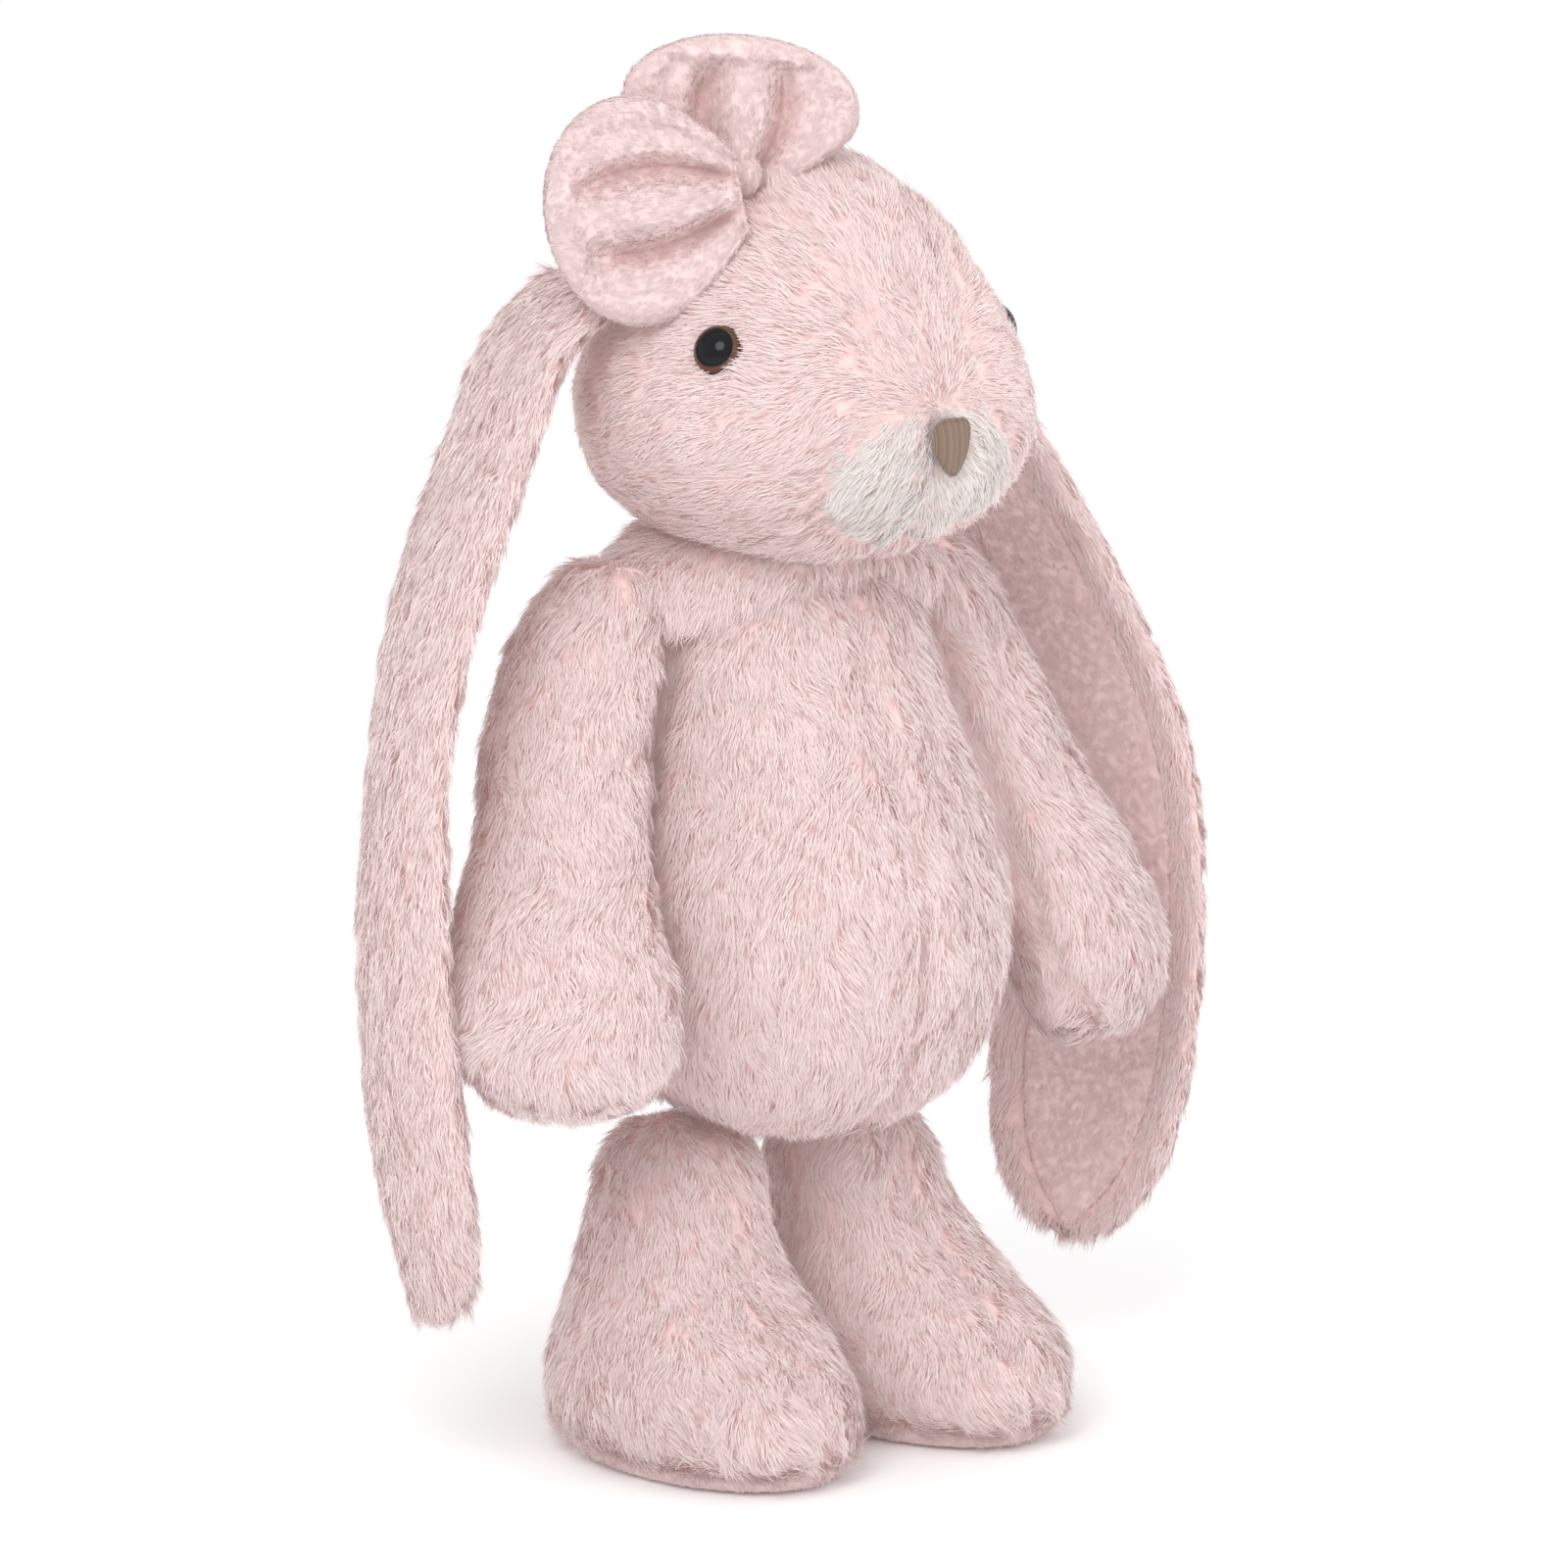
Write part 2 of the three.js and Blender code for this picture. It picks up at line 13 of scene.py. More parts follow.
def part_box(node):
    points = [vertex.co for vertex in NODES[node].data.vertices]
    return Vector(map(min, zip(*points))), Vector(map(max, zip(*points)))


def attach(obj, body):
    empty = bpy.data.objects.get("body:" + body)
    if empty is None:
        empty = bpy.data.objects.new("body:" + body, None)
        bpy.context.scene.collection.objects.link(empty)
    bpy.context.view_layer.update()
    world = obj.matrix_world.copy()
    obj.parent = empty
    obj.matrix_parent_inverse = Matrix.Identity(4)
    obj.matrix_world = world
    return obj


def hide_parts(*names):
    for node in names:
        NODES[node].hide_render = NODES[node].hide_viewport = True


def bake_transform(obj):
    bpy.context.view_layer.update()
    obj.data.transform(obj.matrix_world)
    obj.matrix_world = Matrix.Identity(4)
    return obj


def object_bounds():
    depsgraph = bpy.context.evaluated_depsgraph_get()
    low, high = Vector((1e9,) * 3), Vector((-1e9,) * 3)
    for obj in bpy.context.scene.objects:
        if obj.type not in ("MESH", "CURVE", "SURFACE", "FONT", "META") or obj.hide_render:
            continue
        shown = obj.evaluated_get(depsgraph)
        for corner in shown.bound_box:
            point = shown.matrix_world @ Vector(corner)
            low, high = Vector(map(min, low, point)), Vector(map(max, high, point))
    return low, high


MM = 0.001
RIGHT, LEFT = -1, 1
SIDES = {RIGHT: "right", LEFT: "left"}

# A skin swells in this many steps, and by no more than this many millimetres.
FRAMES_OF_CLOTH = 16
CLOTH_PRESSURE = 3.0
PUFF_REACH = 2.5

# Seams, in millimetres: the groove in the skin, and the strip where the pile is shorter by a share.
GROOVE_DEPTH = 1.8
GROOVE_REACH = 2.6
SEAM_STRIP = 3.0
SEAM_TRIM = 0.55

# Where the drawing of the toy is centred, in the frame of the CAD.
DRAWING = np.array([-1.37, -4.1, 0.0]) * MM

# An ear hangs in an arc of points: (distance out, y, height) in millimetres.
EAR_ARCS = {
    RIGHT: [
        (36, 15, 243), (54, 16, 232), (68, 15, 210), (84, 15, 176),
        (93, 16, 118), (90, 17, 72), (81, 16, 35),
    ],
    LEFT: [
        (38, 15, 240), (51, 17, 229), (62, 17, 205), (79, 15, 172),
        (94, 13, 125), (95, 13, 80), (85, 13, 28),
    ],
}
# Widths and thicknesses are in millimetres, and the twist in degrees. The other places along an ear
# are shares of its length. The cup is how strongly each side curls, near the head and near the end.
EAR_WIDEST = 46
EAR_WIDE_FROM = 0.62
EAR_ROUND_FROM = 0.8
EAR_TWIST = 25
EAR_HALF_THICK = 2.4
EAR_MIDDLE = -1.2
EAR_CUP = {RIGHT: (0.50, 1.0), LEFT: (0.40, 0.50)}
EAR_RIM = 6.5
EAR_LINING = {"middle": 1.3, "half_thick": 1.3, "ripple": 0.15}
EAR_CUT = 0.40
EAR_ROWS = 36
EAR_COLUMNS = 40
EAR_ANGLES = 2 * math.pi * np.arange(EAR_COLUMNS) / EAR_COLUMNS
# The columns of a ring that face the inside of the ear, where a lining shows.
NAP_COLUMNS = np.sin(EAR_ANGLES) > -0.2
# For each part of an ear, a span of shares along it between one body and the next; the points at
# its ends are found but not used.
LIFT_SPAN = (0.10, 0.23)
BEND_SPAN = (0.50, 0.62)

EYE = {"height": 231, "from_front": 62, "tilt_up": 22, "seat": 40.4, "radius": 5.3, "dome": 4.2}
IRIS_RING = (0.74, 0.94)
NOSE = {"height": 212, "y": -49.8, "half_top": 4.7, "half_tall": 5.9}
BOW = {"place": (-20, -4, 262), "yaw": 28, "padding": 7}
BOW_LOBES = [
    {
        "name": "bow_loop_top", "lean": -6, "length": 30, "half_wide": 24,
        "forward": 0, "valleys": (-0.34, 0.36),
    },
    {
        "name": "bow_loop_side", "lean": 100, "length": 40, "half_wide": 23,
        "forward": 12, "valleys": (-0.36, 0.34),
    },
]

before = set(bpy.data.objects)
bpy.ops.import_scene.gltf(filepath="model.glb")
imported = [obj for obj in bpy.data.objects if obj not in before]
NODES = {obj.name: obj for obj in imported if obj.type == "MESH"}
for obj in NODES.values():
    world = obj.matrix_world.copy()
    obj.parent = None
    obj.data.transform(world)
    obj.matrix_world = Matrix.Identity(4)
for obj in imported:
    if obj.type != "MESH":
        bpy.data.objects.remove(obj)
cad_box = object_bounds()


# ---- Materials ----


def plain_material(name, color, roughness=0.9, sheen=0.0):
    """One Principled shader whose values are all its own, so the export keeps them exactly."""
    material = bpy.data.materials.new(name)
    material.use_nodes = True
    shader = material.node_tree.nodes["Principled BSDF"]
    shader.inputs["Base Color"].default_value = (*color, 1)
    shader.inputs["Roughness"].default_value = roughness
    shader.inputs["Sheen Weight"].default_value = sheen
    shader.inputs["Sheen Tint"].default_value = (1, 1, 1, 1)
    shader.inputs["Specular IOR Level"].default_value = 0.2
    return material


def with_painted_glow(material, color, strength):
    """Painted light: an emitted glow that stands in for light come through the pile from behind,
    and lightens the shade between strands.
    """
    shader = material.node_tree.nodes["Principled BSDF"]
    shader.inputs["Emission Color"].default_value = (*color, 1)
    shader.inputs["Emission Strength"].default_value = strength
    return material


def pile_tones(name, root, tips, glow):
    """Materials of one pile: its roots, and several tones of tip, all with a painted glow."""
    tones = [with_painted_glow(plain_material(f"{name}_root", root), root, glow)]
    for i, tip in enumerate(tips):
        material = plain_material(f"{name}_tip_{i}", tip, sheen=0.3)
        tones.append(with_painted_glow(material, root, glow * TIP_GLOW))
    return tones


# The bow's pile has a fourth tone of tip, a deeper pink: painted shade at the bottom of a fold.
# Every root colour is a deeper pink than its tips, and the pink backing takes the root colour:
# painted shade, for the saturated shade deep in the pile.
PINK_ROOT = (0.80, 0.61, 0.59)
PINK_TIPS = [(0.80, 0.675, 0.668), (0.795, 0.66, 0.652), (0.805, 0.69, 0.684)]
CREAM_ROOT = (0.76, 0.685, 0.655)
CREAM_TIPS = [(0.76, 0.71, 0.695), (0.755, 0.70, 0.68), (0.765, 0.72, 0.705)]
MINKY_ROOT = (0.79, 0.58, 0.565)
MINKY_TIPS = [(0.79, 0.635, 0.63), (0.785, 0.62, 0.61), (0.795, 0.65, 0.645)]
BOW_ROOT = (0.71, 0.535, 0.525)
BOW_TIPS = [
    (0.71, 0.57, 0.565), (0.705, 0.56, 0.554), (0.715, 0.58, 0.576), (0.76, 0.47, 0.44),
]
# GLOW is painted light: the strength of the glow that roots and backings give off; TIP_GLOW is the
# share of it on the tips.
GLOW = 0.11
TIP_GLOW = 0.6
# The short nap of the minky cloth, as arguments of pile.
NAP = {
    "length": 1.5, "lift": 0.42, "swirl": 0.35, "spacing": 0.85,
    "per_clump": 9, "width": 0.18, "clump": 0.05, "rough": 0.08, "uneven": 0.3,
}
PINK_PILE = pile_tones("pink_pile", PINK_ROOT, PINK_TIPS, GLOW)
CREAM_PILE = pile_tones("cream_pile", CREAM_ROOT, CREAM_TIPS, GLOW)
MINKY_PILE = pile_tones("minky_pile", MINKY_ROOT, MINKY_TIPS, GLOW * 0.7)
BOW_PILE = pile_tones("bow_pile", BOW_ROOT, BOW_TIPS, GLOW)
PINK_BACKING = with_painted_glow(plain_material("pink_backing", PINK_ROOT), PINK_ROOT, GLOW)
MINKY_BACKING = with_painted_glow(
    plain_material("minky_backing", MINKY_TIPS[1], sheen=0.5), MINKY_ROOT, GLOW * 0.5)
BOW_BACKING = with_painted_glow(
    plain_material("bow_backing", BOW_TIPS[1], sheen=0.2), BOW_ROOT, GLOW * 0.7)
PUPIL = plain_material("pupil_plastic", (0.006, 0.006, 0.008), roughness=0.12)
IRIS = plain_material("iris_plastic", (0.11, 0.05, 0.028), roughness=0.16)
THREADS = [
    plain_material("thread_pale", (0.255, 0.178, 0.136), roughness=0.55, sheen=0.3),
    plain_material("thread_mid", (0.23, 0.157, 0.119), roughness=0.55, sheen=0.3),
    plain_material("thread_deep", (0.20, 0.136, 0.10), roughness=0.55, sheen=0.3),
]
SATIN = plain_material("label_satin", (0.88, 0.87, 0.83), roughness=0.35, sheen=0.2)


# ---- Mesh tools ----


def new_object(name, mesh):
    piece = bpy.data.objects.new(name, mesh)
    bpy.context.collection.objects.link(piece)
    return piece


def mesh_arrays(mesh):
    """(vertices, triangles, vertex normals) of a mesh as arrays."""
    mesh.calc_loop_triangles()
    points = np.empty(len(mesh.vertices) * 3)
    mesh.vertices.foreach_get("co", points)
    normals = np.empty(len(mesh.vertices) * 3)
    mesh.vertices.foreach_get("normal", normals)
    corners = np.empty(len(mesh.loop_triangles) * 3, dtype=np.int64)
    mesh.loop_triangles.foreach_get("vertices", corners)
    return points.reshape(-1, 3), corners.reshape(-1, 3), normals.reshape(-1, 3)


def unit(vectors):
    return vectors / np.maximum(np.linalg.norm(vectors, axis=-1, keepdims=True), 1e-12)


def smooth_shaded(piece):
    for polygon in piece.data.polygons:
        polygon.use_smooth = True


def apply_modifiers(piece):
    depsgraph = bpy.context.evaluated_depsgraph_get()
    mesh = bpy.data.meshes.new_from_object(piece.evaluated_get(depsgraph))
    piece.modifiers.clear()
    piece.data = mesh


def fused(name, nodes, voxel):
    """One closed skin round the named CAD nodes."""
    joined = bmesh.new()
    for node in nodes:
        joined.from_mesh(NODES[node].data)
    mesh = bpy.data.meshes.new(name)
    joined.to_mesh(mesh)
    joined.free()
    piece = new_object(name, mesh)
    remesh = piece.modifiers.new("remesh", "REMESH")
    remesh.mode = "VOXEL"
    remesh.voxel_size = voxel
    smooth = piece.modifiers.new("smooth", "SMOOTH")
    smooth.iterations = 6
    apply_modifiers(piece)
    return piece


def panel_labels(points, nodes):
    """For each point, the index of the CAD panel that lies nearest."""
    best = np.full(len(points), 1e9)
    label = np.zeros(len(points), dtype=int)
    for i, node in enumerate(nodes):
        mesh = NODES[node].data
        tree = BVHTree.FromPolygons(
            [v.co for v in mesh.vertices], [p.vertices[:] for p in mesh.polygons])
        for k, p in enumerate(points):
            distance = tree.find_nearest(p)[3]
            if distance < best[k] - 1e-7:
                best[k], label[k] = distance, i
    return label


def seam_distance(points, triangles, label):
    """How far each point is from the nearest change of panel."""
    edges = np.concatenate([triangles[:, [0, 1]], triangles[:, [1, 2]], triangles[:, [2, 0]]])
    crossing = edges[label[edges[:, 0]] != label[edges[:, 1]]]
    if not len(crossing):
        return np.full(len(points), 1.0)
    middles = (points[crossing[:, 0]] + points[crossing[:, 1]]) / 2
    tree = KDTree(len(middles))
    for i, middle in enumerate(middles):
        tree.insert(middle, i)
    tree.balance()
    return np.array([tree.find(p)[2] for p in points])


def puffed(piece, pinned):
    """Swells a skin by cloth simulation, held at its seams."""
    before = mesh_arrays(piece.data)[0]
    group = piece.vertex_groups.new(name="seams")
    group.add([int(i) for i in np.flatnonzero(pinned)], 1.0, "REPLACE")
    cloth = piece.modifiers.new("cloth", "CLOTH")
    cloth.settings.use_pressure = True
    cloth.settings.uniform_pressure_force = CLOTH_PRESSURE
    cloth.settings.vertex_group_mass = "seams"
    cloth.settings.effector_weights.gravity = 0
    cloth.settings.tension_stiffness = 8
    cloth.settings.bending_stiffness = 0.6
    cloth.point_cache.frame_start = 1
    cloth.point_cache.frame_end = FRAMES_OF_CLOTH
    for step in range(1, FRAMES_OF_CLOTH + 1):
        bpy.context.scene.frame_set(step)
    apply_modifiers(piece)
    bpy.context.scene.frame_set(1)
    after = mesh_arrays(piece.data)[0]
    move = after - before
    far = np.linalg.norm(move, axis=1, keepdims=True)
    move *= np.minimum(1, PUFF_REACH * MM / np.maximum(far, 1e-9))
    piece.data.vertices.foreach_set("co", (before + move).ravel())
    piece.data.update()


# ---- Pile ----


def smooth_noise(points, scale, seed):
    """A soft random value from -1 to 1 that changes over about the given distance."""
    rng = np.random.default_rng(seed)
    total = np.zeros(len(points))
    for _ in range(5):
        wave = rng.normal(size=3)
        wave *= rng.uniform(0.7, 1.5) / np.linalg.norm(wave)
        total += np.sin(points @ wave * (2 * math.pi / scale) + rng.uniform(0, 2 * math.pi))
    return total / 3.2


def scattered(rng, surface, keep, count):
    """Random points on the kept triangles: (points, normals, seam distances)."""
    points, triangles, normals = surface["points"], surface["triangles"][keep], surface["normals"]
    a, b, c = (points[triangles[:, k]] for k in range(3))
    area = np.linalg.norm(np.cross(b - a, c - a), axis=1)
    pick = rng.choice(len(triangles), size=count, p=area / area.sum())
    u, v = rng.random(count), rng.random(count)
    flip = u + v > 1
    u[flip], v[flip] = 1 - u[flip], 1 - v[flip]
    weights = np.stack([1 - u - v, u, v], axis=1)
    chosen = triangles[pick]
    place = np.einsum("ij,ijk->ik", weights, points[chosen])
    normal = unit(np.einsum("ij,ijk->ik", weights, normals[chosen]))
    seam = np.einsum("ij,ij->i", weights, surface["seam"][chosen])
    return place, normal, seam


def area_of(surface, keep):
    points, triangles = surface["points"], surface["triangles"][keep]
    a, b, c = (points[triangles[:, k]] for k in range(3))
    return np.linalg.norm(np.cross(b - a, c - a), axis=1).sum() / 2


# A strand has two cross lines and a tip: 5 points, and 7 corners in its two faces.
CROSS_LINES = [(0.0, 1.0), (0.5, 0.8)]
POINTS_EACH = 5
CORNERS_EACH = 7
MOST_STRANDS = 65000
# How far a strand's shading follows the cloth under it, so that the pile looks soft.
SOFT_SHADING = 0.93
# No strand goes below this height.
GROUND = 0.2 * MM
# The distances, in metres, over which the brushing, height and rise of a pile wander.
BRUSHING_WANDERS = (0.022, 0.009)
HEIGHT_WANDERS = 0.012
RISE_WANDERS = 0.010
TONE_SHARES = [0.5, 0.25, 0.25]


def strand_mesh(name, roots, starts, ends, widths, normals, tone, tones, roll):
    """A mesh of tapered ribbons, one for each root: two cross lines and a tip."""
    count = len(roots)
    middle = roots + starts
    tips = roots + ends
    rows = []
    for step, share in CROSS_LINES:
        centre = (1 - step) ** 2 * roots + 2 * step * (1 - step) * middle + step**2 * tips
        heading = unit((1 - step) * (middle - roots) + step * (tips - middle))
        side = unit(np.cross(heading, normals))
        lift = np.cross(side, heading)
        across = np.cos(roll)[:, None] * side + np.sin(roll)[:, None] * lift
        half = across * (widths * share / 2)[:, None]
        rows += [centre - half, centre + half]
    rows.append(tips)
    points = np.stack(rows, axis=1).reshape(-1, 3)
    base = (np.arange(count) * POINTS_EACH)[:, None]
    loops = np.concatenate([base + [0, 1, 3, 2], base + [2, 3, 4]], axis=1).ravel()
    loop_starts = (np.arange(count) * CORNERS_EACH)[:, None] + [0, 4]
    mesh = bpy.data.meshes.new(name)
    mesh.vertices.add(len(points))
    mesh.vertices.foreach_set("co", points.ravel())
    mesh.loops.add(len(loops))
    mesh.loops.foreach_set("vertex_index", loops.astype(np.int32))
    mesh.polygons.add(count * 2)
    mesh.polygons.foreach_set("loop_start", loop_starts.ravel().astype(np.int32))
    indices = np.stack([np.zeros(count), 1 + tone], axis=1)
    mesh.polygons.foreach_set("material_index", indices.ravel().astype(np.int32))
    mesh.polygons.foreach_set("use_smooth", np.ones(count * 2, dtype=bool))
    mesh.update(calc_edges=True)
    for material in tones:
        mesh.materials.append(material)
    facing = np.repeat(normals, POINTS_EACH, axis=0) * SOFT_SHADING
    facing += mesh_arrays(mesh)[2] * (1 - SOFT_SHADING)
    mesh.normals_split_custom_set_from_vertices(unit(facing))
    return mesh


def pile(name, surface, keep, flow, tones, seed, length=6.5, per_clump=18, spacing=1.5, width=0.22,
         lift=0.4, swirl=0.45, clump=0.18, rough=0.10, uneven=1.0, deep=None):
    """Pile on the kept triangles of a surface. Lengths are in millimetres.

    flow(points, normals) says which way the pile is brushed, and uneven how much its height and
    direction wander. deep(points), from 0 to 1, says how much of it shows the last tone: painted
    shade, a deeper pink at the bottom of a fold.
    """
    rng = np.random.default_rng(seed)
    clumps = int(area_of(surface, keep) / (spacing * MM) ** 2)
    per_clump = min(per_clump, max(MOST_STRANDS // clumps, 4))
    place, normal, seam = scattered(rng, surface, keep, clumps)
    brushed = flow(place, normal)
    brushed = unit(brushed - normal * np.einsum("ij,ij->i", brushed, normal)[:, None])
    broad, fine = BRUSHING_WANDERS
    turn = swirl * (smooth_noise(place, broad, seed) + 0.7 * smooth_noise(place, fine, seed + 1))
    turn += uneven * rng.normal(0, 0.16, clumps)
    sideways = np.cross(normal, brushed)
    brushed = np.cos(turn)[:, None] * brushed + np.sin(turn)[:, None] * sideways
    near_seam = np.clip(1 - seam / (SEAM_STRIP * MM), 0, 1)
    tall = 1 + uneven * 0.15 * smooth_noise(place, HEIGHT_WANDERS, seed + 2)
    tall *= length * MM * rng.uniform(0.88, 1.12, clumps)
    tall *= 1 - SEAM_TRIM * near_seam
    rise = 0.3 * smooth_noise(place, RISE_WANDERS, seed + 3) + rng.normal(0, 0.15, clumps)
    rise = 1 + uneven * rise
    rise *= lift
    rise = np.clip(rise, 0.12, 0.95)
    clump_tip = normal * (rise * 0.75)[:, None] + brushed * (1 - 0.45 * rise)[:, None]
    clump_tip *= tall[:, None]

    index = np.repeat(np.arange(clumps), per_clump)
    count = len(index)
    angle = rng.uniform(0, 2 * math.pi, count)
    radius = spacing * MM * 0.95 * np.sqrt(rng.random(count))
    across = np.cross(normal, brushed)[index]
    along = np.cross(across, normal[index])
    offset = (np.cos(angle) * radius)[:, None] * along
    offset += (np.sin(angle) * radius)[:, None] * across
    roots = place[index] + offset - normal[index] * 0.3 * MM
    own = clump_tip[index] * rng.uniform(0.75, 1.1, count)[:, None]
    own += rng.normal(0, rough, (count, 3)) * tall[index][:, None]
    shared = clump_tip[index] - offset * 0.8
    ends = own * (1 - clump) + shared * clump
    size = np.linalg.norm(ends, axis=1, keepdims=True)
    leaning = normal[index] * (0.55 + rise[index])[:, None] + brushed[index] * 0.45
    starts = unit(leaning) * size * 0.5
    ends[:, 2] = np.maximum(ends[:, 2], GROUND - roots[:, 2])
    starts[:, 2] = np.maximum(starts[:, 2], GROUND - roots[:, 2])
    widths = width * MM * rng.uniform(0.7, 1.3, count)
    tone = rng.choice(len(TONE_SHARES), size=count, p=TONE_SHARES)
    if deep is not None:
        tone[rng.random(count) < deep(roots)] = len(tones) - 2
    roll = rng.uniform(-0.9, 0.9, count)
    mesh = strand_mesh(name, roots, starts, ends, widths, normal[index], tone, tones, roll)
    print("pile", name, "strands", count)
    return new_object(name, mesh)


def surface_of(piece, panels):
    points, triangles, normals = mesh_arrays(piece.data)
    label = panel_labels(points, panels)
    return {
        "points": points,
        "triangles": triangles,
        "normals": normals,
        "face_label": label[triangles[:, 0]],
        "seam": seam_distance(points, triangles, label),
    }


def groove(piece, surface):
    """Pulls a skin in along its seams."""
    pull = GROOVE_DEPTH * MM * np.exp(-((surface["seam"] / (GROOVE_REACH * MM)) ** 2))
    points = surface["points"] - surface["normals"] * pull[:, None]
    piece.data.vertices.foreach_set("co", points.ravel())
    piece.data.update()
    surface["points"], surface["triangles"], surface["normals"] = mesh_arrays(piece.data)


# ---- Parts of the toy ----


def padded_part(name, body, panels, fill_nodes, flow, seed, tones_of=None, voxel=2.0, **looks):
    """A stuffed part: one puffed skin, and one pile piece for each of its panels."""
    skin = fused(f"{name}_backing", [*panels, *fill_nodes], voxel * MM)
    surface = surface_of(skin, panels)
    puffed(skin, surface["seam"] < 1.5 * voxel * MM)
    surface["points"], surface["triangles"], surface["normals"] = mesh_arrays(skin.data)
    groove(skin, surface)
    smooth_shaded(skin)
    skin.data.materials.append(PINK_BACKING)
    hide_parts(*fill_nodes)
    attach(skin, body)
    for i, panel in enumerate(panels):
        tones = (tones_of or {}).get(panel, PINK_PILE)
        keep = surface["face_label"] == i
        piece = pile(f"{panel}_pile", surface, keep, flow, tones, seed + i, **looks)
        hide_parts(panel)
        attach(piece, body)


def middle_of(*nodes):
    """The middle and the two corners of the box round some CAD nodes."""
    low = np.min([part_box(node)[0] for node in nodes], axis=0)
    high = np.max([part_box(node)[1] for node in nodes], axis=0)
    return (low + high) / 2, low, high


def downward(points, normals):
    return np.tile([0.0, 0.0, -1.0], (len(points), 1))


def make_torso():
    panels = [f"torso_{half}_{side}" for half in ("front", "back") for side in ("right", "left")]
    fill = ["torso_stuffing", "torso_bean_pouch"]
    padded_part("torso", "torso", panels, fill, downward, 100)


def make_head():
    panels = ["head_side_right", "head_side_left", "head_gusset", "muzzle_right", "muzzle_left"]
    nose, _, _ = middle_of("nose_embroidery")

    def away_from_nose(points, normals):
        away = points - (nose + np.array([0, 0.012, 0.004]))
        return unit(away) + np.array([0, 0, -0.25])

    tones = {"muzzle_right": CREAM_PILE, "muzzle_left": CREAM_PILE}
    washers = [f"eye_{SIDES[side]}_lock_washer" for side in SIDES]
    fill = ["head_stuffing", *washers]
    padded_part("head", "head", panels, fill, away_from_nose, 200, tones,
                lift=0.32, length=5.5, swirl=0.35)


def make_arm(side):
    name = SIDES[side]
    panels = [f"arm_{name}_front_panel", f"arm_{name}_back_panel"]
    middle, low, high = middle_of(*panels)
    outer = low[0] if side == RIGHT else high[0]
    paw = np.array([outer - side * 0.02, middle[1] - 0.01, low[2] + 0.022])
    shoulder = np.array([middle[0] - side * 0.015, middle[1] + 0.01, high[2]])

    def towards_paw(points, normals):
        down = unit(paw - shoulder)
        near = np.clip(1 - (points[:, 2] - low[2]) / 0.035, 0, 1)[:, None]
        on_top = np.clip(1 - (high[2] - points[:, 2]) / 0.012, 0, 1)[:, None]
        outwards = unit((points - shoulder) * np.array([1, 1, 0]) + np.array([side * 0.004, 0, 0]))
        return down * (1 - near) + unit(points - paw) * near + outwards * on_top

    padded_part(f"arm_{name}", f"arm_{name}", panels, [f"arm_{name}_stuffing"], towards_paw,
                300 + 20 * side)


def make_leg(side):
    name = SIDES[side]
    panels = [f"leg_{name}_outer_panel", f"leg_{name}_inner_panel"]
    fill = [f"leg_{name}_stuffing", f"foot_{name}_bean_pouch"]
    middle, low, high = middle_of(*panels)
    ankle = np.array([middle[0], middle[1] + 0.012, low[2] + 0.02])

    def towards_toe(points, normals):
        low_down = np.clip(1 - (points[:, 2] - low[2]) / 0.04, 0, 1)[:, None]
        outwards = points - ankle
        outwards[:, 2] = -0.012
        return np.array([0.0, -0.25, -1.0]) * (1 - low_down) + unit(outwards) * low_down

    padded_part(f"leg_{name}", f"leg_{name}", panels, fill, towards_toe, 400 + 20 * side)


def make_tail():
    middle, _, _ = middle_of("tail_cover")

    def outwards(points, normals):
        return normals + np.array([0.0, 0.0, -0.6])

    padded_part("tail", "torso", ["tail_cover"], ["tail_stuffing"], outwards, 500,
                lift=0.8, voxel=1.6)


SHARP_FROM = 75


def grid_piece(name, rings, material):
    """A closed skin through rings of points, shaded smooth except where it turns sharply."""
    rings = np.asarray(rings)
    rows, columns = rings.shape[:2]
    points = rings.reshape(-1, 3)
    faces = []
    for i in range(rows - 1):
        for j in range(columns):
            k = (j + 1) % columns
            this, following = i * columns, (i + 1) * columns
            faces.append((this + j, this + k, following + k, following + j))
    faces.append(tuple(range(columns))[::-1])
    faces.append(tuple(range((rows - 1) * columns, rows * columns)))
    mesh = bpy.data.meshes.new(name)
    mesh.from_pydata([tuple(p) for p in points], [], faces)
    mesh.update()
    solid = bmesh.new()
    solid.from_mesh(mesh)
    bmesh.ops.recalc_face_normals(solid, faces=solid.faces)
    solid.to_mesh(mesh)
    solid.free()
    mesh.materials.append(material)
    piece = new_object(name, mesh)
    smooth_shaded(piece)
    mesh.set_sharp_from_angle(angle=math.radians(SHARP_FROM))
    return piece


def bare_surface(piece, seam=None):
    """A piece's mesh ready for pile, with no seams unless their distances are given."""
    points, triangles, normals = mesh_arrays(piece.data)
    far = np.full(len(points), 1.0) if seam is None else seam
    return {"points": points, "triangles": triangles, "normals": normals, "seam": far}


def fixed(pieces, node, body):
    """Pieces that stand for one CAD node and move with one body."""
    for piece in pieces:
        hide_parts(node)
        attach(piece, body)


def on_side(triangles, columns):
    """Which triangles of a grid piece aren't on one of its two closed ends."""
    rows = triangles // columns
    return rows.max(axis=1) > rows.min(axis=1)


def ring_normals(rings):
    """Outward normals of a grid of rings."""
    rings = np.asarray(rings)
    down = np.gradient(rings, axis=0)
    around = np.roll(rings, -1, axis=1) - np.roll(rings, 1, axis=1)
    normals = unit(np.cross(down, around))
    outwards = rings - rings.mean(axis=1, keepdims=True)
    if np.einsum("ijk,ijk->", normals, outwards) < 0:
        normals = -normals
    return normals


# ---- Ears ----


